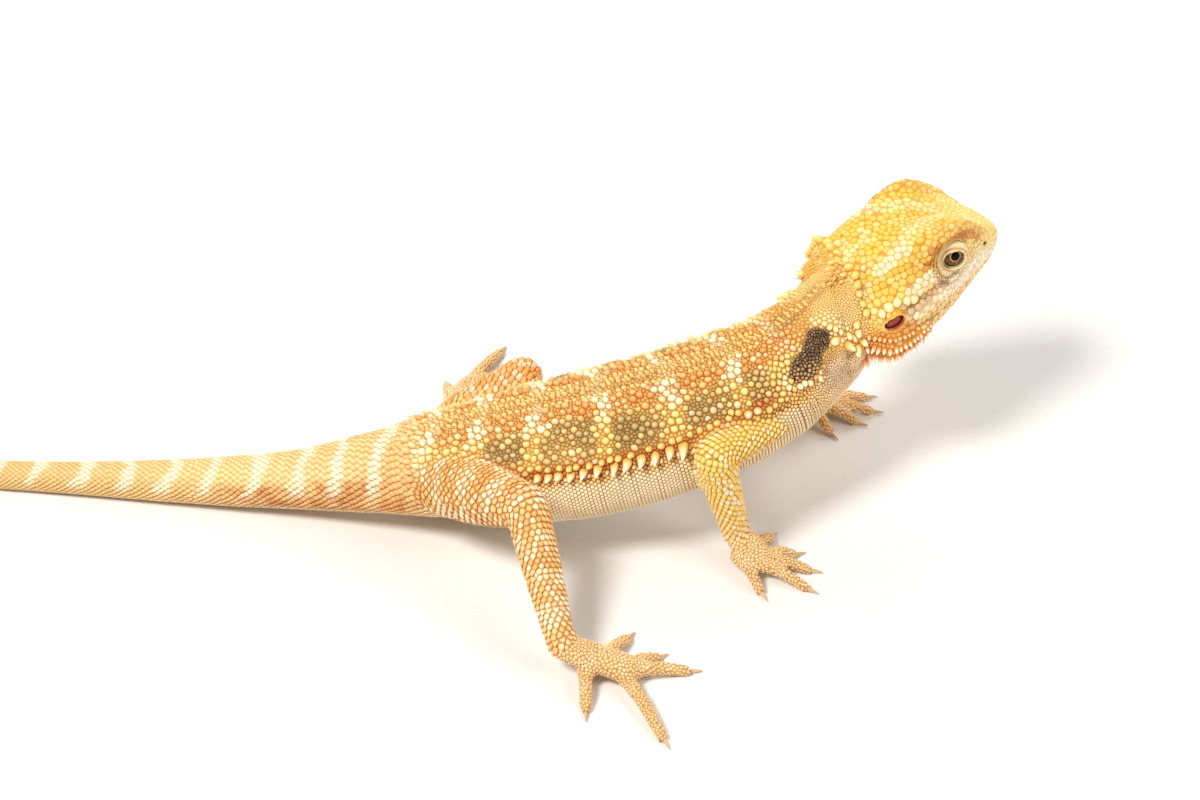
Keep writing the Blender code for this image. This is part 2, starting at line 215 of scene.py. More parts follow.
class Axis:
    """A smooth line through a length of body, with the body's half sizes and the angle round it."""

    CHUNK = 20000  # points measured at a time

    def __init__(self, rows, samples):
        rows = np.array(rows, float)
        values = spline(rows, np.linspace(0, len(rows) - 1, samples))
        self.middle = values[:, :3]
        self.along = unit(np.gradient(self.middle, axis=0))
        steps = np.linalg.norm(np.diff(self.middle, axis=0), axis=1)
        self.arc = np.concatenate([[0], np.cumsum(steps)])
        side = unit(np.cross(self.along, (0.02, 0.01, 1.0)))
        self.half = values[:, 3:5] if values.shape[1] > 4 else values[:, [3, 3]]
        tilt = np.radians(values[:, 5]) if values.shape[1] > 5 else np.zeros(samples)
        up = np.cross(side, self.along)
        turn, stay = np.sin(tilt)[:, None], np.cos(tilt)[:, None]
        self.side, self.up = side * stay + up * turn, up * stay - side * turn
        # The crest is where the section's outline is level, which a tilted oval has off its own top.
        self.crest = np.arctan(np.tan(tilt) * self.half[:, 0] / self.half[:, 1])

    def measure(self, points):
        """For each point: how far along it lies, its angle from the crest, and its station on the axis."""
        nearest = np.empty(len(points), int)
        for start in range(0, len(points), self.CHUNK):
            p = points[start : start + self.CHUNK]
            d2 = (self.middle**2).sum(1)[None] - 2 * p @ self.middle.T
            nearest[start : start + self.CHUNK] = d2.argmin(1)
        offset = points - self.middle[nearest]
        along = self.arc[nearest] + dot(offset, self.along[nearest])
        across = dot(offset, self.side[nearest]) / self.half[nearest, 0]
        upward = dot(offset, self.up[nearest]) / self.half[nearest, 1]
        angle = np.arctan2(across, upward) - self.crest[nearest]
        return along, np.degrees((angle + math.pi) % math.tau - math.pi), nearest

    def ray(self, arc, angle):
        """Start and direction of a ray from the middle out to the skin."""
        k = np.searchsorted(self.arc, arc).clip(0, len(self.arc) - 1)
        turned = np.radians(angle) + self.crest[k]
        out = self.side[k] * (np.sin(turned) * self.half[k, 0])[:, None]
        out = out + self.up[k] * (np.cos(turned) * self.half[k, 1])[:, None]
        return self.middle[k], unit(out)


def turn_of(degrees, axis):
    return Matrix.Rotation(math.radians(degrees), 3, axis)


HEAD_TURN = np.array(turn_of(HEAD_YAW, "Z") @ turn_of(HEAD_ROLL, "X"))


def to_head(points):
    """Points in the head's own frame: x forward from the snout tip, y to the left, z up."""
    return (points - SNOUT_TIP) @ HEAD_TURN


def from_head(points):
    return points @ HEAD_TURN.T + SNOUT_TIP


def paw_of(limb):
    return limb.replace("arm", "hand").replace("leg", "foot")


SPINE_AXIS = Axis(SPINE, 700)
LIMB_AXES = {name: Axis(rows, 120) for name, rows in LIMBS.items()}
PAWS = tuple(paw_of(name) for name in LIMBS)
REGIONS = ("head", "spine", *LIMBS, *PAWS)
SHIFT = np.array(sum(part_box("eye_right"), Vector()) / 2) / MM - from_head(EYE * (1, -1, 1))


def region_of(node):
    """The region a CAD node of flesh belongs to."""
    if node in ("head", "lower_jaw"):
        return "head"
    kind, _, side = node.rpartition("_")
    if side in ("right", "left"):
        kind = {"upper_arm": "arm", "forearm": "arm", "thigh": "leg", "shank": "leg"}.get(kind, kind)
        return f"{kind}_{side}"
    return "spine"


def is_flesh(node):
    return not node.startswith(("eye_", "eardrum_")) and "_claw_" not in node


# ---------------------------------------------------------------- meshes


def taken_from(mesh):
    """Points, normals and triangles of a bmesh, which is freed."""
    bmesh.ops.triangulate(mesh, faces=mesh.faces)
    mesh.normal_update()
    points, normals = (np.array([getattr(v, key) for v in mesh.verts]) for key in ("co", "normal"))
    faces = np.array([[v.index for v in f.verts] for f in mesh.faces])
    mesh.free()
    return points, normals, faces


def arrays_of(obj):
    """Points in pose millimetres, normals and triangles of an object's mesh with its doubles merged."""
    mesh = bmesh.new()
    mesh.from_mesh(obj.data)
    bmesh.ops.remove_doubles(mesh, verts=mesh.verts, dist=1e-6)
    points, normals, faces = taken_from(mesh)
    return points / MM - SHIFT, normals, faces


def ball(middle, radius):
    """Points and triangles of a sphere."""
    mesh = bmesh.new()
    bmesh.ops.create_uvsphere(mesh, u_segments=24, v_segments=16, radius=radius)
    points, _, faces = taken_from(mesh)
    return points + middle, faces


def gathered(solids):
    """The points and the triangles of several solids, as those of one mesh."""
    starts = np.cumsum([0] + [len(points) for points, _ in solids])
    faces = [triangles + start for (_, triangles), start in zip(solids, starts)]
    return np.concatenate([points for points, _ in solids]), np.concatenate(faces)


def fill_all(items, key, values, kind=np.float32):
    """Sets one property of all the items of a mesh."""
    items.foreach_set(key, np.ascontiguousarray(values, kind).reshape(-1))


def read_all(items, key, kind=np.float32, width=3):
    """One property of all the items of a mesh, in rows of width numbers."""
    values = np.empty(len(items) * width, kind)
    items.foreach_get(key, values)
    return values.reshape(-1, width)


def mesh_from(name, points, *face_sets):
    """A mesh of points and faces. The faces of each set have as many corners as its array has columns."""
    data = bpy.data.meshes.new(name)
    corners = np.concatenate([f.reshape(-1) for f in face_sets])
    sizes = np.concatenate([np.full(len(f), f.shape[1]) for f in face_sets])
    data.vertices.add(len(points))
    fill_all(data.vertices, "co", points)
    data.loops.add(len(corners))
    fill_all(data.loops, "vertex_index", corners, np.int32)
    data.polygons.add(len(sizes))
    fill_all(data.polygons, "loop_start", np.concatenate([[0], np.cumsum(sizes)[:-1]]), np.int32)
    data.update(calc_edges=True)
    data.validate()
    return data


def object_of(data, shade=None):
    made = bpy.data.objects.new(data.name, data)
    bpy.context.scene.collection.objects.link(made)
    if shade:
        data.materials.append(shade)
        data.shade_smooth()
    return made


def points_of(data):
    return read_all(data.vertices, "co").astype(float)


def normals_of(data):
    return read_all(data.vertices, "normal").astype(float)


def edges_of(data):
    return read_all(data.edges, "vertices", np.int32, 2)


def set_points(data, points):
    fill_all(data.vertices, "co", points)
    data.update()


def write_tone(data, colours):
    """Stores linear colours per vertex as the attribute that the materials read."""
    opaque = np.concatenate([colours, np.ones((len(colours), 1))], axis=1)
    fill_all(data.color_attributes.new("tone", "FLOAT_COLOR", "POINT").data, "color", opaque)


def neighbour_mean(values, ends):
    """Each vertex's mean of its neighbours' values."""
    count = np.bincount(ends.reshape(-1), minlength=len(values)).astype(float)
    total = np.empty_like(values)
    for k in range(values.shape[1]):
        column = values[:, k]
        sent = np.concatenate([column[ends[:, 1]], column[ends[:, 0]]])
        total[:, k] = np.bincount(np.concatenate([ends[:, 0], ends[:, 1]]), sent, len(values))
    return total / np.maximum(count, 1)[:, None]


def smooth(points, ends, rounds, share):
    """Taubin smoothing, which keeps thin parts from shrinking, as strong as each point's share."""
    for _ in range(rounds):
        for step in (0.5, -0.52):
            points = points + step * share[:, None] * (neighbour_mean(points, ends) - points)
    return points


def voxel_skin(flesh):
    """The flesh solids, grown a little, as one closed even mesh."""
    solids = []
    for obj in flesh:
        points, normals, faces = arrays_of(obj)
        solids.append((points + SWELL * normals, faces))
    for sign in (-1, 1):
        solids.append(ball(from_head(EYE * (1, sign, 1)), EYE_FILL))
        solids.append(ball(from_head(EAR * (1, sign, 1) - (0, EAR_INSET * sign, 0)), EAR_FILL))
    solid = object_of(mesh_from("skin", *gathered(solids)))
    remesh = solid.modifiers.new("remesh", "REMESH")
    remesh.mode = "VOXEL"
    remesh.voxel_size = VOXEL
    return applied(solid)


def applied(obj):
    """Makes the object's evaluated mesh its own."""
    graph = bpy.context.evaluated_depsgraph_get()
    made = bpy.data.meshes.new_from_object(obj.evaluated_get(graph))
    obj.modifiers.clear()
    old = obj.data
    obj.data = made
    name = old.name
    bpy.data.meshes.remove(old)
    made.name = name
    return obj


# ---------------------------------------------------------------- what lies where


def measured(points, weights):
    """All that the markings and the scales need to know about points on the skin.

    arc is how far along the spine a point lies, crest its angle from the top and low that angle without
    its sign. head is the point in the head's frame, x its first value, and girth its angle round the head
    from straight down. Each limb's name has how far along it the point lies, its angle and its station.
    """
    here = {"points": points, "weights": weights}
    here["arc"], here["crest"], here["station"] = SPINE_AXIS.measure(points)
    here["low"] = np.abs(here["crest"])
    here["head"] = to_head(points)
    here["x"], y, z = here["head"].T
    here["girth"] = np.degrees(np.arctan2(np.abs(y), -(z - HEAD_MIDDLE)))
    for name, axis in LIMB_AXES.items():
        here[name] = axis.measure(points)
    here["lie"] = lie_of(here)
    return here


def share_of(here, *regions):
    """How much each point belongs to the regions."""
    return sum(here["weights"][:, REGIONS.index(region)] for region in regions)


def digit_way(points, limb):
    """The way that the nearest digit of the limb's paw points."""
    wrist, knuckle = (np.array(LIMBS[limb][k][:3]) for k in (2, 3))
    tips = np.array([(*tip, TIP_HEIGHT) for tip in TIPS[limb]])
    starts = wrist + (knuckle - wrist) * np.array(DIGIT_STARTS)[:, None]
    way, best = np.zeros_like(points), np.full(len(points), 1e9)
    for start, tip in zip(starts, tips):
        t = clamp(dot(points - start, tip - start) / dot(tip - start, tip - start))
        away = np.linalg.norm(points - start - t[:, None] * (tip - start), axis=1)
        way = np.where((away < best)[:, None], unit(tip - start), way)
        best = np.minimum(best, away)
    return way


def lie_of(here):
    """The way the scales lie: back along the body and out along the limbs and digits."""
    lie = SPINE_AXIS.along[here["station"]] * share_of(here, "spine")[:, None]
    lie = lie + (HEAD_TURN @ (-1, 0, 0)) * share_of(here, "head")[:, None]
    for name, axis in LIMB_AXES.items():
        lie = lie + axis.along[here[name][2]] * share_of(here, name)[:, None]
        lie = lie + digit_way(here["points"], name) * share_of(here, paw_of(name))[:, None]
    return unit(lie)


def mirrored(local):
    """Head points, all brought to the left side."""
    return local * (1, 0, 1) + np.abs(local[:, 1:2]) * (0, 1, 0)


def eye_place(local):
    """Offsets from the middle of the eye opening, forwards and upwards, and the distance in openings."""
    offset = mirrored(local) - EYE
    forward = unit(np.array((1.0, 0.1, 0.0)))
    along, upward = dot(offset, forward) + 0.3, offset[:, 2]
    reach = np.full(len(along), 1.5)
    for _ in range(6):
        long, high = (np.maximum(a + (b - a) * (reach - 1), 0.3) for a, b in zip(LID_OPENING, LID_CREASE))
        reach = np.clip(reach + 0.9 * (np.hypot(along / long, upward / high) - 1), 0.4, FAR)
    outside = (offset[:, 1] > 0.2) & (np.linalg.norm(offset, axis=1) < 7)
    return offset, along, upward, np.where(outside, reach, FAR)


def ear_place(local):
    """The distance from the middle of the ear, in opening sizes."""
    x, z = local[:, 0] - EAR[0], local[:, 2] - EAR[2]
    along = x * math.cos(EAR_TILT) + z * math.sin(EAR_TILT)
    across = z * math.cos(EAR_TILT) - x * math.sin(EAR_TILT)
    reach = np.hypot(along / EAR_HALVES[0], across / EAR_HALVES[1])
    return np.where(np.abs(local[:, 1]) > 9, reach, FAR)


def nostril_place(local):
    """How far each point lies from the middle of the nostril, shortened along the slit."""
    return np.linalg.norm((mirrored(local) - NOSTRIL) * (0.8, 0.5, 1.15), axis=1)


def mouth_height(local):
    """How far each point lies above the line between the jaws, in millimetres, and FAR behind its corner."""
    (fx, fz), (cx, cz) = MOUTH
    share = clamp((fx - local[:, 0]) / (fx - cx))
    height = local[:, 2] - (fz + (cz - fz) * share) + 0.5 * np.sin(share * math.pi)
    return np.where(local[:, 0] > cx, height, FAR)


# ---------------------------------------------------------------- the skin


def refine(data, zone, rounds):
    """Splits the faces inside a zone into four, as many times as asked. zone says which points are in it."""
    mesh = bmesh.new()
    mesh.from_mesh(data)
    for _ in range(rounds):
        mesh.verts.ensure_lookup_table()
        inside = zone(np.array([v.co for v in mesh.verts]))
        edges = [e for e in mesh.edges if inside[e.verts[0].index] and inside[e.verts[1].index]]
        bmesh.ops.subdivide_edges(mesh, edges=edges, cuts=1, use_grid_fill=True)
        mesh.verts.index_update()
    bmesh.ops.triangulate(mesh, faces=[f for f in mesh.faces if len(f.verts) > 4])
    mesh.to_mesh(data)
    mesh.free()


def fine_zone(points):
    """Where the skin needs small faces: round the eyes, ears and nostrils, and along the mouth."""
    local = to_head(points)
    _, along, upward, reach = eye_place(local)
    eyes = (np.hypot(along, upward) < 4.6) & (reach < FAR)
    mouth = (np.abs(mouth_height(local)) < 0.9) & (local[:, 0] < 4)
    return eyes | (ear_place(local) < 1.9) | (nostril_place(local) < 1.5) | mouth


def region_weights(data, flesh):
    """How much each skin vertex belongs to each region, with soft borders."""
    solids = [arrays_of(obj)[::2] for obj in flesh]
    owner = [REGIONS.index(region_of(obj.name)) for obj, (_, faces) in zip(flesh, solids) for _ in faces]
    tree = BVHTree.FromPolygons(*(part.tolist() for part in gathered(solids)))
    nearest = [tree.find_nearest(p)[2] for p in points_of(data).tolist()]
    weights = np.eye(len(REGIONS))[np.array(owner)[nearest]]
    ends = edges_of(data)
    for _ in range(6):
        weights = neighbour_mean(weights, ends)
    return weights


# Ridges and creases round the eye opening: height, reach and width.
LID_RINGS = ((0.16, 1.12, 0.1), (-0.10, 1.33, 0.08), (0.10, 1.52, 0.1), (-0.75, 1.95, 0.13))


def sculpt_head(local, normals):
    """Moves points in the head's frame: lids and eye sockets, ear pits, nostrils and the mouth line."""
    offset, _, upward, reach = eye_place(local)
    radius = np.linalg.norm(offset, axis=1)
    ring = sum(high * hump(reach, middle, width) for high, middle, width in LID_RINGS)
    ring = ring + 0.30 * hump(reach, 2.35, 0.22) * ramp(upward, 0.5, 2.5)
    wanted = radius + (LID_RADIUS - radius) * (1 - ramp(reach, 1.5, 1.9)) + ring
    wanted = np.where(reach < 1.0, OPENING_RADIUS, wanted)
    left = np.where(local[:, 1:2] < 0, -1.0, 1.0) * (0, 1, 0)
    lids = (EYE + offset * (wanted / np.maximum(radius, 1e-6))[:, None]) * (left + (1, 0, 1))
    local = np.where((reach < 3.2)[:, None], lids, local)

    ear = ear_place(local)
    pit = 1.15 * (1 - ramp(ear, 0.82, 1.0)) - 0.14 * hump(ear, 1.22, 0.2)
    local = local - left * (pit * (ear < 2.2))[:, None]

    nostril = nostril_place(local)
    dent = 0.75 * (1 - ramp(nostril, 0.25, 0.55)) - 0.15 * hump(nostril, 0.8, 0.2)
    mouth = hump(mouth_height(local), 0, 0.2) * 0.32
    return local - normals * (dent + mouth)[:, None]


# Lines on head and nape have places of x, back from the snout, and girth, the angle round the head from
# straight down, the same on both sides. Lines on the body have places of arc and angle from the crest.
HEAD_SQUASH = 0.19
# Ridges and hollows of the head and nape: height, width and line.
RELIEF = [
    (1.00, 0.9, [(-19.5, 128), (-17.5, 137), (-14, 143.5), (-10.5, 145), (-7, 143), (-4.5, 139)]),
    (-0.30, 1.2, [(-8.6, 122), (-5.4, 124)]),
    (0.42, 0.9, [(-8, 104), (-13, 92), (-19, 87), (-24, 81)]),
    (-0.30, 0.8, [(-16.4, 98), (-20, 93), (-25, 87.5)]),
    (0.70, 1.1, [(-29.5, 84), (-31.2, 92), (-31.7, 104), (-31.7, 118), (-31.5, 132)]),
    (-0.95, 1.5, [(-35.2, 66), (-35.0, 80), (-34.9, 95), (-34.8, 112), (-34.6, 128)]),
    (-0.35, 1.7, [(-8, 180), (-15, 180)]),
    (0.45, 1.2, [(-20, 66), (-26, 62), (-31, 57)]),
    (-0.70, 1.6, [(-30.5, 38), (-34.5, 48), (-36.5, 58)]),
]
THROAT_POCKET = [(17.0, 50), (17.8, 60), (18.6, 76), (18.0, 92), (16.6, 110)]
ARMPIT = [(26.4, 50), (26.0, 60), (24.2, 68), (22.8, 78), (21.8, 92)]


def relief(here):
    """Height of the brow, cheek and jaw ridges, and of the groove behind the head."""
    x, girth = here["x"], here["girth"]
    near = share_of(here, "head") + share_of(here, "spine") * (here["arc"] < 16)
    return near * sum(high * near_line(x, girth, line, width, HEAD_SQUASH) for high, width, line in RELIEF)


def folds(here):
    """Height of the folds of loose skin on neck and shoulders, and of the edge along the flank."""
    arc, low = here["arc"], here["low"]
    flank = 0.55 * hump(low, 65, 7) * between(arc, 28, 84, 5)
    tuck = -0.45 * hump(low, 76, 6) * between(arc, 30, 84, 5)
    collar = 0.5 * hump(arc, 13.4, 1.7) * ramp(low, 50, 66)
    collar = collar - 1.1 * near_line(arc, low, THROAT_POCKET, 1.9)
    collar = collar - 0.55 * near_line(arc, low, ARMPIT, 1.3)
    second = (0.3 * hump(arc, 26.5, 1.1) - 0.3 * hump(arc, 24.6, 1.1)) * between(low, 30, 62, 8)
    waves = 0.16 * noise(here["points"] * (1, 1, 1.4), 3.2, 5) * between(arc, 16, 90, 5)
    return (flank + tuck + collar + second + waves) * share_of(here, "spine")


def build_skin(flesh, shade):
    """The one skin, in pose millimetres, with its fields per vertex."""
    skin = voxel_skin(flesh)
    data, points = skin.data, points_of(skin.data)
    set_points(data, smooth(points, edges_of(data), 3, np.ones(len(points))))
    refine(data, fine_zone, 2)
    weights = region_weights(data, flesh)
    paws = weights[:, -len(PAWS) :].sum(1)
    points = smooth(points_of(data), edges_of(data), 8, 1 - 0.8 * paws)
    set_points(data, points)
    points = points - normals_of(data) * (SWELL * (1 - 0.7 * paws) + COAT_DEPTH * (1 - 0.6 * paws))[:, None]
    set_points(data, points)
    here = measured(points, weights)
    points = points + normals_of(data) * (folds(here) + relief(here))[:, None]
    set_points(data, points)
    in_head = (weights[:, 0] > 0.5)[:, None]
    local = sculpt_head(to_head(points), normals_of(data) @ HEAD_TURN)
    points = np.where(in_head, from_head(local), points)
    points[:, 2] = np.maximum(points[:, 2], FLOOR_GAP)
    set_points(data, points)
    data.materials.append(shade)
    data.shade_smooth()
    return skin, measured(points, weights)


# ---------------------------------------------------------------- markings

# Where the pale cross bands lie along the spine, from the neck to the tail tip.
BANDS = np.array([23.0, 33.0, 44.5, 57.0, 68.5, 79.0, 87.5, 96.5, 105.0, 112.5, 121.0, 129.5])
BANDS = np.concatenate([BANDS, np.arange(138.0, 285.0, 8.2)])

CREAM = rgb(254, 240, 208)
WHITE = rgb(255, 248, 230)
PALE = rgb(253, 234, 178)
YELLOW = rgb(250, 218, 128)
GOLD = rgb(246, 200, 102)
TAN = rgb(234, 194, 126)
ORANGE = rgb(240, 170, 86)
BRIGHT_ORANGE = rgb(242, 150, 56)
RUST = rgb(204, 128, 56)
BROWN = rgb(162, 112, 66)
OLIVE = rgb(175, 147, 87)
CHARCOAL = rgb(58, 36, 18)
GREY = rgb(150, 128, 98)
BELLY = rgb(246, 228, 190)
SAND = rgb(250, 210, 144)
FLESH = rgb(248, 222, 184)

SMUDGE_LINE = [(18.0, 41), (20.2, 49), (23.6, 54)]
COLLAR_LINE = [(15.4, 30), (14.4, 46), (13.6, 56)]
# the fold of the throat pocket, along which grey painted shade is laid
POCKET_LINE = [(18.2, 62), (19.2, 76), (18.4, 92), (17.0, 104)]


def band_strength(here):
    """1 in the middle of a pale cross band, 0 between bands."""
    points, low = here["points"], here["low"]
    arc = here["arc"] - 0.03 * low + 1.3 * noise(points, 4.5, 11) + 0.7 * noise(points, 1.7, 12)
    width = np.where(here["arc"] > 92, 1.55, 1.9)
    return hump(arc[:, None], BANDS[None], width[:, None]).max(1)


def smudge_strength(here):
    """The dark patch on each shoulder, a little lower on the left one."""
    arc, low = here["arc"], here["low"] - 12 * (here["crest"] > 0)
    near = near_line(arc + noise(here["points"], 1.6, 24), low, SMUDGE_LINE, 2.6)
    return ramp(near, 0.15, 0.7) * (share_of(here, "spine") > 0.5)


def paint_trunk(arc, low, coarse, fine, band):
    """Cream blotches on the back, olive patches on the flank and a rusty edge above the pale belly."""
    back = between(low, 6, 33, 5)
    flank = between(low, 30, 62, 5)
    gap = flank * (1 - ramp(band, 0.25, 0.75))
    patch = gap * between(arc, 40, 80, 3) * clamp(0.8 + 0.7 * coarse) + 0.7 * gap * between(arc, 28, 40, 2)
    row = between(low + 4 * (1 - between(arc, 40, 76, 8)), 61.5, 71.5, 3.5) * between(arc, 29, 84, 4)
    under = ramp(low, 70, 77) * between(arc, 26, 84, 5)
    return layered(
        np.tile(TAN, (len(arc), 1)),
        (GOLD, 0.5 * (1 - ramp(arc, 28, 48)) + 0.3 * clamp(coarse)),
        (OLIVE, 0.25 * (1 - ramp(low, 4, 16)) * (0.6 + 0.6 * coarse) * between(arc, 14, 60, 8)),
        (rgb(234, 174, 90), back * (0.45 + 0.45 * fine) * between(arc, 26, 88, 6)),
        (YELLOW, flank * 0.7),
        (OLIVE, patch * 0.9),
        (CREAM, ramp(band, 0.35, 0.8) * back * ramp(low, 4, 12) * 0.65),
        (CREAM, ramp(band, 0.5, 0.9) * (1 - ramp(low, 6, 14)) * 0.4),
        (YELLOW, ramp(band, 0.3, 0.7) * flank * 0.6),
        (RUST * 0.9 + BROWN * 0.1, row),
        (OLIVE * 0.4 + GOLD * 0.6, under * 0.8),
        (BELLY, ramp(low, 77, 87) * ramp(arc, 20, 28)),
    )


def paint_neck(here, colour, low, coarse, fine):
    """Golden nape, orange shoulders, flesh-coloured throat with painted shade in its pocket, and the dark
    patch on each shoulder.
    """
    arc = here["arc"]
    neck = 1 - ramp(arc, 15, 22)
    streak = between(arc, 10, 21, 2) * hump(low, 7, 3.2)
    return layered(
        colour,
        (rgb(246, 206, 124), neck),
        (rgb(250, 222, 160), neck * clamp(coarse + 0.2) * between(low, 25, 70, 10) * 0.7),
        (ORANGE, between(arc, 17, 29, 2.5) * between(low, 8, 34, 5) * (0.45 + 0.5 * fine)),
        (BROWN, 0.5 * streak * clamp(0.6 + coarse)),
        (YELLOW, between(arc, 15, 28, 2) * between(low, 31, 64, 4) * 0.65),
        (PALE, 0.5 * near_line(arc, low, COLLAR_LINE, 2.4) * clamp(0.7 + fine)),
        (FLESH, (1 - ramp(arc, 18, 26)) * ramp(low, 62, 80)),
        # painted shade: grey along the fold of the throat pocket
        (GREY, 0.2 * near_line(arc, low, POCKET_LINE, 1.9)),
        (CHARCOAL, smudge_strength(here)),
    )


def paint_tail(arc, low, coarse, fine, band):
    """Pale bands on sand, rusty along the sides of the tail's root, and paler underneath."""
    rusty = between(low, 62, 135, 10) * (1 - ramp(arc, 112, 150)) * clamp(0.6 + 0.7 * fine)
    return layered(
        np.tile(SAND, (len(arc), 1)),
        (RUST * 0.85 + BROWN * 0.15, 0.95 * rusty),
        (ORANGE, 0.45 * (1 - ramp(arc, 96, 124)) * clamp(0.5 + coarse)),
        (TAN, 0.8 * between(low, 45, 110, 12) * ramp(arc, 120, 150)),
        (TAN, 0.9 * ramp(arc, 120, 165)),
        (FLESH, 0.6 * ramp(low, 115, 140)),
        (CREAM, ramp(band, 0.35, 0.85) * (1 - 0.9 * ramp(low, 72, 100)) * 0.85),
    )


def paint_spine(here):
    """Neck, trunk and tail."""
    points, arc = here["points"], here["arc"]
    low = here["low"] + 4 * noise(points, 5, 21)
    coarse, fine = noise(points, 5.5, 22), noise(points, 1.6, 23)
    band = band_strength(here)
    colour = paint_neck(here, paint_trunk(arc, low, coarse, fine, band), low, coarse, fine)
    return over(colour, paint_tail(arc, low, coarse, fine, band), ramp(arc, 84, 94))


def paint_limb(here, name):
    """Golden forelegs and blotched orange hind legs, the left one brighter, all paler underneath."""
    points, along = here["points"], here[name][0]
    fine, coarse = noise(points, 1.8, 31), noise(points, 4.0, 32)
    under = (FLESH, 0.7 * ramp(-here["facing"][:, 2], 0.2, 0.75))
    if name.startswith("arm"):
        return layered(
            np.tile(rgb(254, 214, 110), (len(points), 1)),
            (ORANGE, 0.2 * clamp(coarse) + 0.25 * ramp(along, 20, 30)),
            (YELLOW, 0.6 * clamp(fine + 0.15)),
            (SAND, 0.7 * ramp(along, 30, 40)),
            under,
        )
    wave = np.cos((along + 1.6 * coarse) / 6.4 * math.tau)
    pale, bright = (0.3, 0.8) if name == "leg_left" else (0.6, 0.0)
    return layered(
        np.tile(ORANGE * 0.25 + SAND * 0.75, (len(points), 1)),
        (CREAM, pale * ramp(wave + 0.9 * fine, 0.3, 1.0)),
        (ORANGE, 0.5 * ramp(-wave + 0.9 * fine, 0.2, 1.0)),
        (BRIGHT_ORANGE, bright * (1 - ramp(along, 22, 42)) * clamp(0.8 + fine)),
        (SAND, 0.7 * ramp(along, 44, 54)),
        under,
    )


def paint_paw(here):
    points = here["points"]
    return layered(
        np.tile(rgb(244, 203, 142), (len(points), 1)),
        (ORANGE, 0.25 * clamp(noise(points, 2.2, 41))),
        (CREAM, 0.45 * clamp(noise(points, 1.3, 42))),
        (FLESH, 0.6 * ramp(-here["facing"][:, 2], 0.2, 0.8)),
    )


# Pale and dark streaks of the head: colour, strength, width and line.
EMBER = RUST * 0.5 + ORANGE * 0.5
HEAD_STREAKS = [
    (PALE, 0.45, 1.4, [(-28, 124), (-25.5, 138), (-22.5, 147), (-19.5, 157), (-15, 167), (-11, 172)]),
    (CREAM, 0.55, 1.3, [(-27.6, 126), (-25.6, 132), (-22.6, 141)]),
    (CREAM, 0.45, 1.0, [(-30.8, 108), (-29.6, 114)]),
    (PALE, 0.55, 1.2, [(-31.5, 158), (-30, 172)]),
    (PALE, 0.5, 0.9, [(-26.5, 168), (-26.5, 180)]),
    (
        rgb(244, 192, 104), 0.7, 0.95,
        [(-19.5, 128), (-17.5, 138), (-14, 145), (-10.5, 147), (-7.5, 144), (-5, 140)],
    ),
    # orange crescent under the brow ridge, deepened as painted shadow beneath the ridge
    (EMBER, 0.9, 0.7, [(-14.2, 134), (-11.5, 138.5), (-8, 136.5), (-6, 132)]),
    (CREAM, 0.7, 1.3, [(-18.5, 109), (-21, 103), (-23.8, 97)]),
    (CREAM, 0.75, 1.3, [(-15.5, 93), (-19, 88), (-24, 81)]),
    (RUST, 0.85, 0.65, [(-18.6, 130.5), (-16.4, 132)]),
    (RUST, 0.85, 0.65, [(-19.5, 119), (-18.2, 124)]),
    (BROWN, 0.6, 0.7, [(-15.2, 97), (-18, 95), (-21, 91), (-25, 86.5)]),
    (EMBER, 0.85, 1.3, [(-24, 76), (-28.5, 70), (-31.5, 60)]),
    (YELLOW, 0.8, 1.2, [(-32.6, 118), (-32.8, 104), (-31, 86), (-29.3, 79)]),
    (BROWN, 0.6, 0.28, [(-6.6, 129), (-6.2, 127)]),
]


def paint_openings(colour, local):
    """Ringed lids with painted shade in their crease and below behind them, ear pits, the line of the mouth,
    and the nostrils darkened as painted shade.
    """
    _, along, upward, reach = eye_place(local)
    return layered(
        colour,
        (rgb(250, 228, 176), 1 - ramp(reach, 1.75, 1.95)),
        # painted shade: a dark line in the lid crease, strongest below the eye
        (BROWN * 0.5, hump(reach, 1.95, 0.12) * ramp(-upward, -3.4, 0.0)),
        # painted shadow below and behind the eye, outside the lid ring
        (BROWN, 0.7 * hump(reach, 2.4, 0.1) * ramp(-along - upward, 0.0, 2.5)),
        (rgb(206, 150, 84), 0.8 * hump(reach, 1.33, 0.08)),
        (rgb(92, 54, 32), 0.9 * (1 - ramp(reach, 1.02, 1.12))),
        (rgb(120, 28, 16), 1 - ramp(ear_place(local), 0.92, 1.06)),
        (rgb(176, 112, 62), 0.7 * hump(mouth_height(local), 0, 0.22)),
        # painted shade: the nostril's hollow darkened
        (rgb(110, 54, 32), 1 - ramp(nostril_place(local), 0.3, 0.6)),
    )


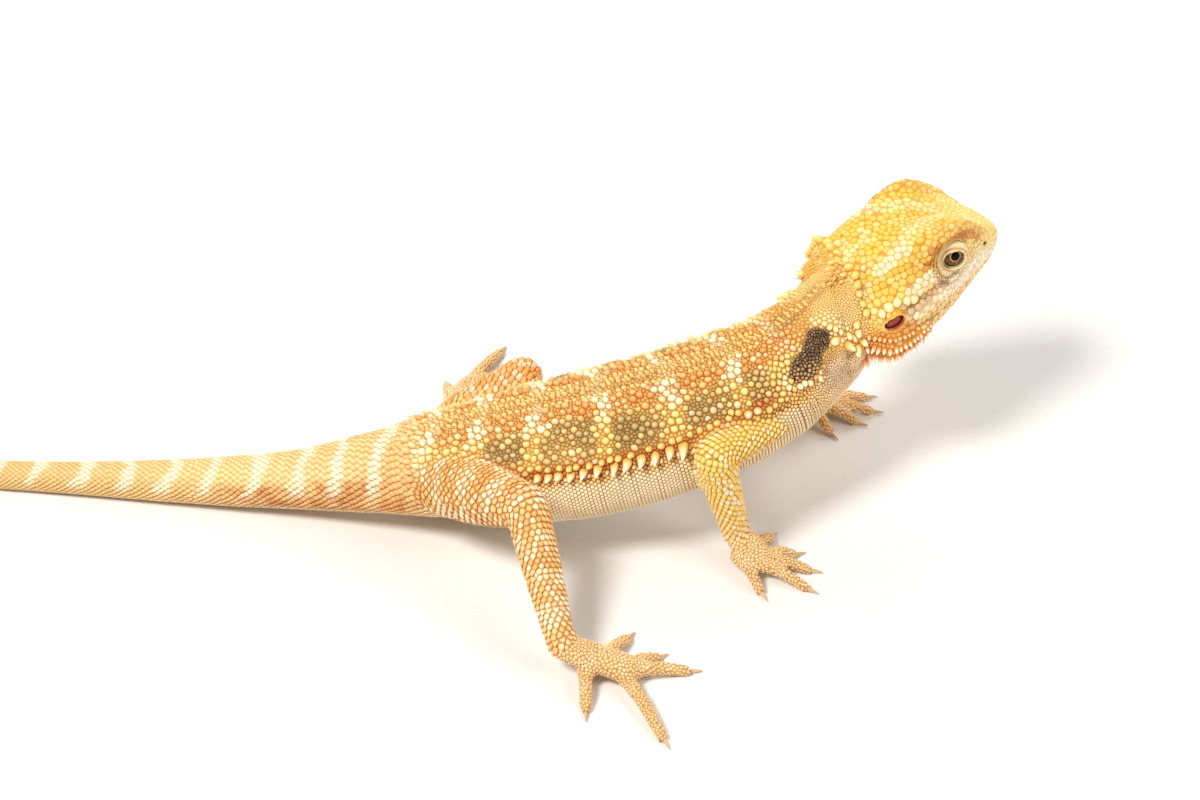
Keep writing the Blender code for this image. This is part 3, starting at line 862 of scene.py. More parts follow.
def paint_head(here):
    """Golden head plates with pale streaks, a dark streak behind the eye, a flesh-coloured throat, painted
    light on snout and jaw sides, and painted shadow under the brow.
    """
    points, local, girth = here["points"], here["head"], here["girth"]
    x = local[:, 0] + 0.35 * noise(points, 2.2, 51)
    coarse, fine = noise(points, 4.0, 52), noise(points, 1.5, 53)
    streaks = [
        (shade, strength * near_line(x, girth, line, width, HEAD_SQUASH))
        for shade, strength, width, line in HEAD_STREAKS
    ]
    colour = layered(
        np.tile(rgb(247, 194, 68), (len(points), 1)),
        # pale snout, lightened further as painted light
        (rgb(255, 228, 148), ramp(x, -14, -5) * 0.85),
        # painted light: the side of the snout made paler where it turns away from the lamps
        (rgb(255, 240, 190), 0.6 * ramp(x, -12, -5) * (1 - ramp(girth, 110, 135))),
        (rgb(244, 178, 84), 0.45 * clamp(coarse + 0.2) * (1 - ramp(x, -12, -6))),
        (PALE, 0.3 * clamp(fine)),
        # pale jaw side, lightened further as painted light where it turns away from the lamps
        (rgb(255, 244, 218), between(girth, 78, 106, 5) * ramp(x, -22, -13) * 0.9),
        (rgb(250, 222, 164), 0.7 * between(girth, 55, 78, 5) * ramp(x, -24, -20)),
        *streaks,
        (ORANGE, 0.55 * clamp(noise(points, 1.1, 54)) * between(girth, 50, 74, 4) * (1 - ramp(x, -27, -20))),
        (FLESH, 1 - ramp(girth, 36, 50)),
    )
    nape = (1 - ramp(x, -35, -31.5)) * ramp(girth, 60, 90)
    return over(paint_openings(colour, local), GOLD * 0.6 + TAN * 0.4, nape)


def paint(here):
    """The markings, shared by skin and scales, as linear colours."""
    colour = paint_head(here) * share_of(here, "head")[:, None]
    colour = colour + paint_spine(here) * share_of(here, "spine")[:, None]
    for name in LIMBS:
        colour = colour + paint_limb(here, name) * share_of(here, name)[:, None]
    return clamp(colour + paint_paw(here) * share_of(here, *PAWS)[:, None])


# ---------------------------------------------------------------- places of the scales

TAIL_START = 90
# How far apart the scales of one ring stand on belly and limbs, and each scale's width as a share of that.
BELLY_GRAIN, ARM_GRAIN, LEG_GRAIN, RING_WIDTH = 0.86, 1.34, 1.6, 0.80
TRUNK_STRETCH, LIMB_STRETCH = 0.74, 0.68  # how far apart the rings stand, beside that
RIM_LINE = [(21.4, 28), (25.6, 35), (27.4, 46), (27.4, 58), (24.6, 67), (21.4, 74)]


def head_grain(here):
    x, girth = here["x"], here["girth"]
    eye, ear = eye_place(here["head"])[3], ear_place(here["head"])
    wide = 1.08 - 0.28 * ramp(x, -12, -2) + 0.14 * between(girth, 84, 112, 6) * (1 - ramp(x, -24, -18))
    wide = wide - 0.6 * (1 - ramp(girth, 44, 60)) - 0.5 * between(girth, 48, 78, 5) * (1 - ramp(x, -30, -24))
    return np.select([ear < 1.5, eye < 1.95, eye < 2.9, x < -33], [0.42, 0.3, 0.5, 0.44], wide)


def spine_grain(here):
    arc, low = here["arc"], here["low"]
    wide = np.where(arc < 16, 0.42, 0.64 + 0.26 * ramp(arc, 84, 98)) - 0.35 * ramp(arc, 120, 260)
    wide = np.select([(low > 58) & (arc < 26), (low > 74) & (arc < 92)], [0.44, 0.66], wide)
    collar, rim = near_line(arc, low, COLLAR_LINE, 2.4), near_line(arc, low, RIM_LINE, 1.9)
    dark = 0.46 + 0.22 * ramp(low + 2.5 * arc, 92, 114)
    return np.where(smudge_strength(here) > 0.3, dark, wide + 0.34 * collar + 0.2 * rim)


def grain(here):
    """How wide the scales are at each place, in millimetres, where nothing larger stands among them."""
    wide = head_grain(here) * share_of(here, "head") + spine_grain(here) * share_of(here, "spine")
    return wide + 0.9 * share_of(here, *LIMBS) + 0.58 * share_of(here, *PAWS)


class Surface:
    """The skin as something to set scales on."""

    def __init__(self, data, weights):
        data.calc_loop_triangles()
        self.points, self.normals, self.weights = points_of(data), normals_of(data), weights
        self.triangles = read_all(data.loop_triangles, "vertices", np.int32)
        self.tree = BVHTree.FromPolygons(self.points.tolist(), self.triangles.tolist())
        self.here = measured(self.points, weights)
        self.here["facing"] = self.normals

    def shares(self, triangle, places):
        """How near each place lies to each corner of its triangle."""
        a, b, c = (self.points[self.triangles[triangle, k]] for k in range(3))
        ab, ac, ap = b - a, c - a, places - a
        d00, d01, d11, d20, d21 = dot(ab, ab), dot(ab, ac), dot(ac, ac), dot(ap, ab), dot(ap, ac)
        whole = np.maximum(d00 * d11 - d01 * d01, 1e-12)
        v, w = (d11 * d20 - d01 * d21) / whole, (d00 * d21 - d01 * d20) / whole
        shares = clamp(np.stack([1 - v - w, v, w], 1))
        return shares / shares.sum(1, keepdims=True)

    def read(self, values, triangle, places):
        """The skin's values at the places."""
        return (values[self.triangles[triangle]] * self.shares(triangle, places)[:, :, None]).sum(1)

    def onto(self, places):
        """The nearest places on the skin, and their triangles."""
        found = [self.tree.find_nearest(p)[0:3:2] for p in places.tolist()]
        return np.array([f[0] for f in found]), np.array([f[1] for f in found])

    def hit(self, starts, ways):
        """Where rays from inside leave the skin, the triangles there, and which rays do."""
        found = [self.tree.ray_cast(s, w) for s, w in zip(starts.tolist(), ways.tolist())]
        good = np.array([f[0] is not None for f in found])
        places, triangles = (np.array([f[k] for f in found if f[0] is not None]) for k in (0, 2))
        return places, triangles, good

    def facts(self, places, triangle):
        here = measured(places, self.read(self.weights, triangle, places))
        here["facing"] = unit(self.read(self.normals, triangle, places))
        return here

    def scatter(self, size):
        """Random places, closer together where size at the vertices is small."""
        corners = self.points[self.triangles]
        edges = corners[:, 1:] - corners[:, :1]
        area = np.linalg.norm(np.cross(edges[:, 0], edges[:, 1]), axis=1) / 2
        wanted = area / (0.3 * size[self.triangles].mean(1) ** 2)
        count = np.floor(wanted + DRAW.random(len(wanted))).astype(int)
        triangle = np.repeat(np.arange(len(wanted)), count)
        r1, r2 = np.sqrt(DRAW.random(len(triangle))), DRAW.random(len(triangle))
        shares = np.stack([1 - r1, r1 * (1 - r2), r1 * r2], 1)
        return (corners[triangle] * shares[:, :, None]).sum(1), triangle


def ring_places(surface, axis, start, end, size_at, low, high, stretch):
    """Staggered rings of places round an axis, between two arcs and two angles from the crest."""
    starts, ways, arc, k = [], [], start, 0
    while arc < end:
        size = size_at(arc)
        station = min(np.searchsorted(axis.arc, arc), len(axis.arc) - 1)
        around = math.pi * axis.half[station].sum()
        count = max(3, round(around * (high - low) / 360 / size))
        angles = low + (np.arange(count) + 0.25 + 0.5 * (k % 2)) / count * (high - low)
        middle, way = axis.ray(np.full(count, arc), angles)
        starts.append(middle)
        ways.append(way)
        arc += size * 0.87 * stretch
        k += 1
    return surface.hit(np.concatenate(starts), np.concatenate(ways))[:2]


def tree_of(places):
    tree = KDTree(len(places))
    for i, p in enumerate(places):
        tree.insert(p, i)
    tree.balance()
    return tree


def neighbours(places, count):
    """Indices of each place's nearest others."""
    listed = places.tolist()
    tree = tree_of(listed)
    return np.array([[f[1] for f in tree.find_n(p, count + 1)][1:] for p in listed])


def settle(surface, places, size, free, rounds):
    """Pushes the free places apart until each has its room, and keeps them on the skin."""
    triangle = None
    for _ in range(rounds):
        near = neighbours(places, 8)
        apart = places[:, None] - places[near]
        distance = np.maximum(np.linalg.norm(apart, axis=2), 1e-6)
        room = 1.04 * (size[:, None] + size[near]) / 2
        push = np.clip(room - distance, 0, None) / distance
        places = places + (apart * push[:, :, None]).sum(1) * (0.28 * free)[:, None]
        places, triangle = surface.onto(places)
    return places, triangle


def packed(places, size, rank, closest):
    """Which places to keep, high ranks first: none lies nearer another than closest times their width."""
    order = np.lexsort((DRAW.random(len(places)), -rank))
    closest = np.broadcast_to(closest, len(places))[order].tolist()
    listed, widths = places[order].tolist(), size[order].tolist()
    tree = tree_of(listed)
    dropped = bytearray(len(listed))
    widest = max(widths)
    for i, p in enumerate(listed):
        if dropped[i]:
            continue
        own = widths[i]
        widest_near = min(widest, max(own, 0.8) * 2)
        for _, j, distance in tree.find_range(p, 0.85 * (own + widest_near) / 2):
            if j > i and distance < max(closest[i], closest[j]) * (own + widths[j]) / 2:
                dropped[j] = 1
    keep = np.zeros(len(places), bool)
    keep[order[np.frombuffer(dropped, np.uint8) == 0]] = True
    return keep


def cells(places, facing, lie, size, sides):
    """How far each place's cell reaches in each direction of its tangent plane, starting along the lie."""
    near = neighbours(places, 16)
    apart = places[near] - places[:, None]
    across = unit(np.cross(facing, lie))
    forward = np.cross(across, facing)
    u, v = (dot(apart, way[:, None]) for way in (forward, across))
    flat = np.maximum(np.hypot(u, v), 1e-6)
    same_side = dot(facing[near], facing[:, None]) > 0.1
    border = flat * size[:, None] / (size[:, None] + size[near])
    reach = np.repeat(0.8 * size[:, None], sides, axis=1)
    for k in range(sides):
        angle = math.tau * k / sides
        toward = (u * math.cos(angle) + v * math.sin(angle)) / flat
        limit = np.where(same_side & (toward > 0.2), border / np.maximum(toward, 0.2), FAR)
        reach[:, k] = np.minimum(reach[:, k], limit.min(1))
    return reach, forward, across


def ringed(here):
    """True where the scales stand in rings round the body: tail, belly and limbs."""
    arc, low = here["arc"], here["low"]
    spine = (share_of(here, "spine") > 0.5) & ((arc > TAIL_START) | ((low > 77) & (arc > 24)))
    return spine | (share_of(here, *LIMBS) > 0.5)


def tail_grain(arc):
    """How far apart the scales of one ring of the tail stand."""
    return 1.34 - 0.0046 * (arc - TAIL_START)


def even_grain(wide):
    """The same, where it is as wide everywhere."""
    return lambda arc: wide + 0 * arc


def back_tubercles(surface):
    """The larger round scales that stand among the granules of the back and flanks."""
    arc, low = surface.here["arc"], surface.here["low"]
    trunk = (share_of(surface.here, "spine") > 0.6) & (low < 69) & (arc > 19) & (arc < 93)
    spacing = 1.30 + 0.15 * (1 - ramp(low, 4, 14)) - 0.04 * ramp(low, 36, 50) - 0.3 * (1 - ramp(arc, 24, 34))
    places, triangle = surface.scatter(np.where(trunk, spacing, 60.0))
    wide = surface.read(spacing[:, None], triangle, places)[:, 0]
    keep = packed(places, wide, np.zeros(len(places)), 0.84)
    places, triangle = settle(surface, places[keep], wide[keep], np.ones(keep.sum()), 4)
    here = surface.facts(places, triangle)
    arc, low = here["arc"], here["low"]
    pale = 0.20 * ramp(band_strength(here), 0.4, 0.9) * between(low, 6, 60, 4)
    size = 1.02 + 0.46 * DRAW.random(len(places)) + pale
    size = size - 0.25 * (1 - ramp(low, 3, 12)) - 0.36 * (1 - ramp(arc, 24, 34))
    keep = (share_of(here, "spine") > 0.5) & (low < 70) & (arc > 18) & (smudge_strength(here) < 0.3)
    return places[keep], size[keep]


def ring_seeds(surface):
    """The rings of scales on tail, belly and limbs, each only on its own region."""
    rings = [
        ("spine", SPINE_AXIS, 88, SPINE_AXIS.arc[-1] - 0.3, tail_grain, -180, 180, TRUNK_STRETCH),
        ("spine", SPINE_AXIS, 22, 92, even_grain(BELLY_GRAIN), 74, 286, TRUNK_STRETCH),
    ]
    for name, axis in LIMB_AXES.items():
        grain_at = even_grain(ARM_GRAIN if name.startswith("arm") else LEG_GRAIN)
        rings.append((name, axis, 2, axis.arc[-1], grain_at, -180, 180, LIMB_STRETCH))
    found = []
    for region, axis, start, end, grain_at, low, high, stretch in rings:
        places, triangle = ring_places(surface, axis, start, end, grain_at, low, high, stretch)
        here = surface.facts(places, triangle)
        keep = ringed(here) & (share_of(here, region) > 0.45)
        if region == "spine":
            keep &= (here["arc"] > 89.5) == (grain_at is tail_grain)
        found.append((places[keep], RING_WIDTH * grain_at(here["arc"][keep])))
    return found


# Rows of cones. On the body: arc, angle from the crest and length. On the head: x, girth and length.
# Then spacing, width, fullness, colour below and colour at the tip, all mirrored to the other side.
BUTTER, APRICOT = rgb(248, 192, 104), rgb(246, 188, 84)
BODY_CONES = [
    (
        [
            (32, 62, 1.8), (39, 65, 3.0), (46, 68.5, 3.7), (53, 70.5, 3.3), (63, 71.5, 2.1), (72, 69, 1.2),
            (84, 63, 0.7),
        ],
        2.7, 1.9, 0.0, BUTTER, CREAM,
    ),
    ([(34, 57.5, 1.0), (48, 63, 1.3), (62, 65.5, 1.1), (80, 58.5, 0.7)], 1.9, 1.4, 0.6, ORANGE, YELLOW),
    ([(38, 71, 0.6), (50, 75.5, 1.0), (66, 76, 0.5)], 1.7, 0.9, 0.2, ORANGE, CREAM),
    (
        [(3, 4, 1.7), (7, 3, 1.4), (14, 2, 1.0), (30, 1.5, 0.9), (60, 1.5, 0.8), (90, 1.5, 0.7)],
        1.5, 0.95, 0.2, TAN, YELLOW,
    ),
    ([(2, 13, 1.8), (5, 13, 1.3), (7, 12, 0.7)], 1.8, 1.1, 0.3, GOLD, PALE),
    ([(26, 8, 0.5), (40, 9, 0.5), (88, 9, 0.5)], 1.3, 0.9, 0.3, TAN, YELLOW),
    ([(1.0, 24, 1.2), (3, 26, 0.9)], 1.6, 1.2, 0.6, GOLD, PALE),
    ([(15.2, 32, 0.7), (14.8, 39, 1.0), (14.2, 46, 1.1), (13.8, 52, 0.9)], 1.5, 1.2, 0.9, GOLD, PALE),
    ([(15.6, 55, 1.0), (14.4, 65, 1.7), (13.1, 79, 2.2), (11.7, 96, 2.0)], 1.95, 2.05, 0.9, APRICOT, PALE),
    ([(13.4, 58, 0.8), (12.3, 70, 1.2), (10.9, 84, 1.3)], 1.5, 1.5, 0.9, GOLD, PALE),
    ([(26.9, 52, 0.7), (26.9, 59, 1.0), (24.6, 65, 1.0), (21.2, 72, 0.7)], 1.3, 1.2, 0.9, GOLD, CREAM),
]
HEAD_CONES = [
    (
        [(-19.5, 66, 0.8), (-23, 63, 1.2), (-27, 59, 1.8), (-30.5, 55.5, 2.3), (-32.8, 52, 2.2)],
        1.2, 1.2, 0.3, rgb(240, 156, 74), WHITE,
    ),
    (
        [(-21, 60, 0.9), (-25, 56, 1.5), (-29, 51, 2.0), (-32, 46, 1.7)],
        1.25, 1.15, 0.2, rgb(240, 168, 90), WHITE,
    ),
    (
        [(-19, 70, 0.5), (-23.5, 67, 0.8), (-28, 63.5, 1.2), (-32.2, 60, 1.8)],
        1.1, 1.05, 0.3, rgb(238, 150, 66), CREAM,
    ),
    (
        [(-21, 73, 0.4), (-26, 70, 0.6), (-31.8, 66.5, 1.1)],
        1.0, 0.95, 0.4, rgb(236, 140, 56), rgb(250, 214, 150),
    ),
    ([(-33.0, 64, 1.5), (-33.6, 74, 1.4), (-33.2, 84, 1.1)], 1.7, 1.7, 0.9, APRICOT, PALE),
    (
        [
            (-30.8, 79, 0.9), (-31.6, 90, 1.2), (-32.0, 104, 1.2), (-32, 120, 1.5), (-31.8, 134, 1.7),
            (-31.5, 148, 1.6), (-32, 164, 1.2),
        ],
        1.9, 1.6, 0.8, GOLD, YELLOW,
    ),
    (
        [(-29.6, 86.5, 0.7), (-27.4, 91.5, 0.7), (-24.6, 93.5, 0.6), (-22.8, 93, 0.5)],
        1.75, 1.75, 1.0, YELLOW, PALE,
    ),
]


def head_ray(x, girth):
    """Start and direction of a ray from the head's middle out to its skin, girth negative on the right."""
    turned = np.radians(girth)
    starts = np.stack([x, 0 * x, 0 * x + HEAD_MIDDLE], 1)
    ways = np.stack([0 * x, np.sin(turned), -np.cos(turned)], 1)
    return from_head(starts), ways @ HEAD_TURN.T


def wobble(shape):
    return DRAW.standard_normal(shape).clip(-1.5, 1.5)


def cone_row(surface, ray, side, line, spacing, width, full, below, tip):
    """One row of cones on one side: places, length, width, fullness and the colours of base and tip."""
    at = np.linspace(0, len(line) - 1, 160)
    columns = np.array(line, float).T
    along, angle, length = (np.interp(at, np.arange(len(line)), column) for column in columns)
    places, triangle, good = surface.hit(*ray(along, side * angle))
    slimness = 0.68 + 0.32 * length[good] / max(row[2] for row in line)
    steps = np.minimum(np.linalg.norm(np.diff(places, axis=0), axis=1), 1.0) / slimness[1:]
    travelled = np.concatenate([[0], np.cumsum(steps)])
    wanted = np.arange(0.3 * spacing, travelled[-1], spacing)
    wanted = wanted + spacing * 0.05 * wobble(len(wanted))
    chosen = np.searchsorted(travelled, wanted).clip(0, len(places) - 1)
    here = surface.facts(places[chosen], triangle[chosen])
    chosen = chosen[share_of(here, "spine", "head") > 0.7]
    count = len(chosen)
    stand, _ = surface.onto(places[chosen] + 0.08 * spacing * wobble((count, 3)))
    length = length[good][chosen] * (1 + 0.16 * wobble(count))
    colours = np.tile(below, (count, 1)), np.tile(tip, (count, 1))
    return stand, length, width * slimness[chosen], np.full(count, full), *colours


def cone_rows(surface):
    """All the cones: places, length, width, fullness, colour below and colour at the tip."""
    rows = [(SPINE_AXIS.ray, row) for row in BODY_CONES] + [(head_ray, row) for row in HEAD_CONES]
    found = [cone_row(surface, ray, side, *row) for ray, row in rows for side in (-1, 1)]
    return [np.concatenate(column) for column in zip(*found)]


TUBERCLE, CONE = 1, 2
CONE_RANK, TUBERCLE_RANK, RING_RANK, GRAIN_RANK = 4, 3, 2, 1


def granules(surface):
    """The smallest scales, everywhere but on eyes, eardrums, lips and nostrils."""
    size = grain(surface.here)
    places, triangle = surface.scatter(size)
    here = surface.facts(places, triangle)
    local = here["head"]
    eye = eye_place(local)[3]
    # bare skin on eye openings, the lid crease and the nostrils, where painted shade shows, and on ear pits
    # and lips
    bare = (eye < 1.12) | (np.abs(eye - 1.95) < 0.1) | (ear_place(local) < 1.06)
    bare |= (np.abs(mouth_height(local)) < 0.14) | (nostril_place(local) < 0.5)
    keep = ~(bare & (share_of(here, "head") > 0.5))
    return places[keep], surface.read(size[:, None], triangle, places)[keep, 0]


def all_places(surface):
    """Where every scale stands, its width, what kind it is, and for a cone its row in cone_rows."""
    cones = cone_rows(surface)
    tubercles = back_tubercles(surface)
    grains = granules(surface)
    sets = [(cones[0], cones[2], CONE_RANK + 0.1 * cones[1], CONE), (*tubercles, TUBERCLE_RANK, TUBERCLE)]
    sets += [(*ring, RING_RANK, 0) for ring in ring_seeds(surface)] + [(*grains, GRAIN_RANK, 0)]
    places, size = (np.concatenate([s[k] for s in sets]) for k in (0, 1))
    rank, kind = (np.concatenate([np.full(len(s[0]), s[k]) for s in sets]) for k in (2, 3))
    keep = packed(places, size, rank, np.where(rank == RING_RANK, 0.56, 0.80))
    row = np.arange(len(places))[keep]
    places, size, rank, kind = places[keep], size[keep], rank[keep], kind[keep]
    free = np.select([rank == GRAIN_RANK, rank == RING_RANK, rank == TUBERCLE_RANK], [1.0, 0.45, 0.35], 0.0)
    places, triangle = settle(surface, places, size, free, 6)
    return places, triangle, size, kind, row, cones


# ---------------------------------------------------------------- shapes and tones of the scales

PLATE_WIDTH, LARGE_WIDTH = 0.6, 0.72  # head scales wider than the first are plates
# How scales are formed on head plates, belly, tail, limbs, paws and elsewhere. Top, tilt up behind and
# point are shares of the rim's and the top's reach, height, peak and sweep of the scale's width.
FORMS = {
    "top": (0.93, 0.70, 0.80, 0.80, 0.82, 0.72),
    "high": (0.09, 0.15, 0.14, 0.15, 0.17, 0.24),
    "peak": (0.13, 0.24, 0.28, 0.30, 0.32, 0.36),
    "sweep": (0.02, 0.08, 0.16, 0.16, 0.14, 0.05),
    "tilt": (0.15, 0.5, 0.9, 1.0, 0.5, 0.15),
    "point": (0.0, 0.05, 0.36, 0.46, 0.2, 0.05),
}
TUBERCLE_FORM = {"top": 0.76, "high": 0.34, "peak": 0.54}


def shape_of(here, size, kind):
    """The form of each scale, with its height, its peak and its sweep along the lie in millimetres."""
    head, spine = share_of(here, "head") > 0.5, share_of(here, "spine") > 0.5
    ring = ringed(here)
    belly = ring & spine & (here["arc"] < TAIL_START)
    paws = share_of(here, *PAWS) > 0.5
    places = [head & (size > PLATE_WIDTH), belly, ring & spine & ~belly, ring & ~spine, paws]
    form = {key: np.select(places, values[:-1], values[-1]) for key, values in FORMS.items()}
    for key, value in TUBERCLE_FORM.items():
        form[key] = np.where(kind == TUBERCLE, value, form[key])
    for key in ("high", "peak", "sweep"):
        form[key] = form[key] * size
    return form


def seam_and_shade_tone(tone, here):
    """The darker tone between the scales, their joint colour and painted shade in one: strongest on the
    flanks, faint on the snout.
    """
    arc, low = here["arc"], here["low"]
    spine = 0.84 + 0.16 * between(arc, 22, 88, 6) - 0.22 * ramp(arc, 90, 110) * (1 - ramp(low, 40, 80))
    depth = spine * share_of(here, "spine") + 0.84 * share_of(here, *LIMBS, *PAWS)
    x, girth = here["x"], here["girth"]
    # painted light: the seams are kept faint on the snout and jaw sides, which turn away from the lamps
    pale = clamp(ramp(x, -17, -8) + 0.6 * between(girth, 80, 104, 4) * ramp(x, -24, -20))
    depth = depth + (0.64 + 0.16 * (1 - ramp(girth, 50, 80)) - 0.28 * pale) * share_of(here, "head")
    belly = between(arc, 24, 92, 4) * ramp(low, 66, 74) + ramp(arc, 92, 98) * ramp(low, 60, 80)
    depth = depth + 0.2 * belly * share_of(here, "spine")
    return tone * (1 - depth[:, None] * (0.50, 0.68, 0.86))


def tones_of(here, size, kind):
    """Colour of each scale's rim, darkened with painted shade, its body, and its peak, paler with a painted
    highlight.
    """
    count = len(size)
    low, arc = here["low"], here["arc"]
    band, smudge = band_strength(here), smudge_strength(here)
    chance, other, light = (DRAW.random(count) for _ in range(3))
    trunk = (share_of(here, "spine") > 0.5) & (low < 73) & (arc > 15) & (arc < 92)
    big = kind == TUBERCLE
    back = between(low, 6, 36, 3) * trunk * big * ramp(arc, 22, 27)
    flank = between(low, 30, 66, 3) * trunk * big
    tone = layered(
        paint(here),
        (BRIGHT_ORANGE, back * (chance < 0.3) * (band < 0.5) * 0.75),
        (PALE, back * (chance > 0.90) * 0.5),
        (CREAM * 0.6 + PALE * 0.4, back * (other < ramp(band, 0.2, 0.75)) * 0.95),
        (YELLOW, flank * (chance < 0.18 + 0.6 * band) * 0.7),
        (CREAM, flank * (chance > 0.93) * 0.4),
    )
    small = trunk & ~big & (size < 0.75) & (smudge < 0.3)
    tone = np.where(small[:, None], tone * (0.86, 0.77, 0.62), tone)
    plates = (share_of(here, "head") > 0.5) & (size > PLATE_WIDTH)
    limbs = share_of(here, *LIMBS) > 0.5
    hind = share_of(here, "leg_right", "leg_left") > 0.5
    tone = layered(
        tone,
        (rgb(240, 168, 70), plates * (chance < 0.18) * 0.25),
        (PALE, plates * (chance > 0.88) * 0.25),
        (CREAM, limbs * (chance > 0.78) * 0.5),
        (ORANGE, (limbs & hind) * (chance < 0.22) * 0.55),
    )
    tone = tone * (0.94 + 0.12 * light)[:, None]
    # each scale's rim takes the joint colour with painted shade at its foot
    rim = seam_and_shade_tone(tone, here)
    lower = ramp(low + 2.5 * arc, 98, 114)
    tone = over(tone, rgb(194, 152, 98), smudge * (0.22 + 0.45 * lower + 0.3 * (other < 0.4)))
    # painted highlight: the peak of each scale paler, more so on tubercles
    return rim, tone, over(tone, WHITE, 0.06 + 0.12 * big)


def chart_of(here, region):
    """Each scale's place on an unwrap of its region of skin, from 0 to 1."""
    if region == "head":
        sign = np.where(here["head"][:, 1] < 0, -1, 1)
        u, v = (here["x"] + 37) / 40, 0.5 + sign * here["girth"] / 362
    elif region in ("neck", "back", "belly", "tail"):
        u, v = (here["arc"] - here["arc"].min()) / np.ptp(here["arc"]), (here["crest"] + 180) / 360
        if region == "belly":
            v = ((here["crest"] + 360) % 360 - 60) / 240
    else:
        u, v = limb_chart(here, region)
    return clamp(np.stack([u, v], 1)) * 0.98 + 0.01


def limb_chart(here, region):
    """The chart of two limbs or paws, the right one below and the left one above."""
    u, v = np.zeros(len(here["arc"])), np.zeros(len(here["arc"]))
    for k, side in enumerate(("right", "left")):
        own = share_of(here, f"{region}_{side}") > 0.3
        limb = f"{region}_{side}".replace("hand", "arm").replace("foot", "leg")
        if region in ("arm", "leg"):
            along, angle, _ = here[limb]
            part_u, part_v = along / (LIMB_AXES[limb].arc[-1] + 2), (angle + 180) / 360
        else:
            flat = (here["points"] - np.array(LIMBS[limb][2][:3])) / 44
            part_u, part_v = flat[:, 0] + 0.5, (flat[:, 1] + 0.5) / 2 + 0.5 * (here["facing"][:, 2] < 0)
        u, v = np.where(own, part_u, u), np.where(own, (part_v + k) / 2, v)
    return u, v


# ---------------------------------------------------------------- scales as mesh

PATCH = 0.003  # width of a scale's patch on its unwrap
RIM_SHARE = 0.985  # how much of its cell a scale fills
SCALE_SINK, CONE_SINK = 0.06, 0.08  # how deep the rims of scales and cones stand in the skin


def dome_faces(count, per, sides, rings):
    """Quads between the rings of each dome and triangles up to its point, per points to a dome."""
    first = (np.arange(count) * per)[:, None]
    k = np.arange(sides)
    after = (k + 1) % sides
    faces = []
    for ring in range(rings - 1):
        low, high = first + ring * sides, first + (ring + 1) * sides
        faces.append(np.stack([low + k, low + after, high + after, high + k], axis=2).reshape(-1, 4))
    last = first + (rings - 1) * sides
    faces.append(np.stack([last + k, last + after, first + rings * sides + 0 * k], axis=2).reshape(-1, 3))
    return faces


def circle(sides):
    """Angles round a scale, starting along its lie."""
    return math.tau * np.arange(sides) / sides


def joined(name, levels, colours, chart, shade):
    """One mesh of many small domes, each a stack of rings that ends in a point, with colours and a chart."""
    count, sides = levels[0].shape[:2]
    rings = len(levels) - 1
    points = np.concatenate([level.reshape(count, -1, 3) for level in levels], axis=1)
    points[..., 2] = np.maximum(points[..., 2], SCALE_GAP)
    per = points.shape[1]
    faces = dome_faces(count, per, sides, rings)
    data = mesh_from(name, (points.reshape(-1, 3) + SHIFT) * MM, *faces)
    tone = np.ones((count, per, 3))
    for ring, colour in enumerate(colours):
        tone[:, ring * sides : (ring + 1) * sides] = colour[:, None]
    write_tone(data, tone.reshape(-1, 3))
    swing = np.stack([np.cos(circle(sides)), np.sin(circle(sides))], 1) * PATCH / 2
    patch = np.concatenate([swing * (1 - ring / rings) for ring in range(rings)] + [np.zeros((1, 2))])
    uv = (chart[:, None] + patch[None]).reshape(-1, 2)
    corners = np.concatenate([f.reshape(-1) for f in faces])
    fill_all(data.uv_layers.new(name="OFBake").data, "uv", uv[corners])
    return object_of(data, shade)


def rim_of(surface, places, sheet, share):
    """The ring of points on the skin round each scale."""
    reach, forward, across = sheet
    count, sides = reach.shape
    c, s = (wave(circle(sides))[None, :, None] for wave in (np.cos, np.sin))
    spread = forward[:, None] * c + across[:, None] * s
    rim = places[:, None] + spread * (share * reach)[:, :, None]
    return surface.onto(rim.reshape(-1, 3))[0].reshape(count, sides, 3)


def scale_piece(name, surface, region, here, sheet, form, tones, shade):
    """Scales as one mesh: each a rim on the skin, a raised top and a peak, and on plates a ring between."""
    forward, places, facing = sheet[1], here["points"], here["facing"]
    rim = rim_of(surface, places, sheet, RIM_SHARE)
    top, high, peak, sweep, tilt, point = (value[:, None] for value in form.values())
    c = np.cos(circle(rim.shape[1]))
    share = top * (1 + point * clamp(c)[None] ** 3)
    ring = places[:, None] + (rim - places[:, None]) * share[:, :, None]
    ring = ring + facing[:, None] * (high * (1 + tilt * c[None]))[:, :, None] + (forward * sweep)[:, None]
    end = (places + facing * peak + forward * (1.3 * sweep))[:, None]
    levels = [rim - facing[:, None] * SCALE_SINK, ring, end]
    if region == "head" and len(c) == 8:
        inner = ring + (end - ring) * 0.18 + facing[:, None] * 0.4 * (peak - high)[:, None]
        levels.insert(2, inner)
        tones = [tones[0], tones[1], tones[1], tones[2]]
    return joined(name, levels, tones, chart_of(here, region), shade)


# The rings of a cone: a slim one's share of the rim, a full one's, and how high up.
CONE_RINGS = ((0.82, 0.98, 0.2), (0.54, 0.86, 0.5), (0.25, 0.5, 0.8))
CONE_BEND = 0.10  # how far a cone's tip bends along the lie, as a share of its length


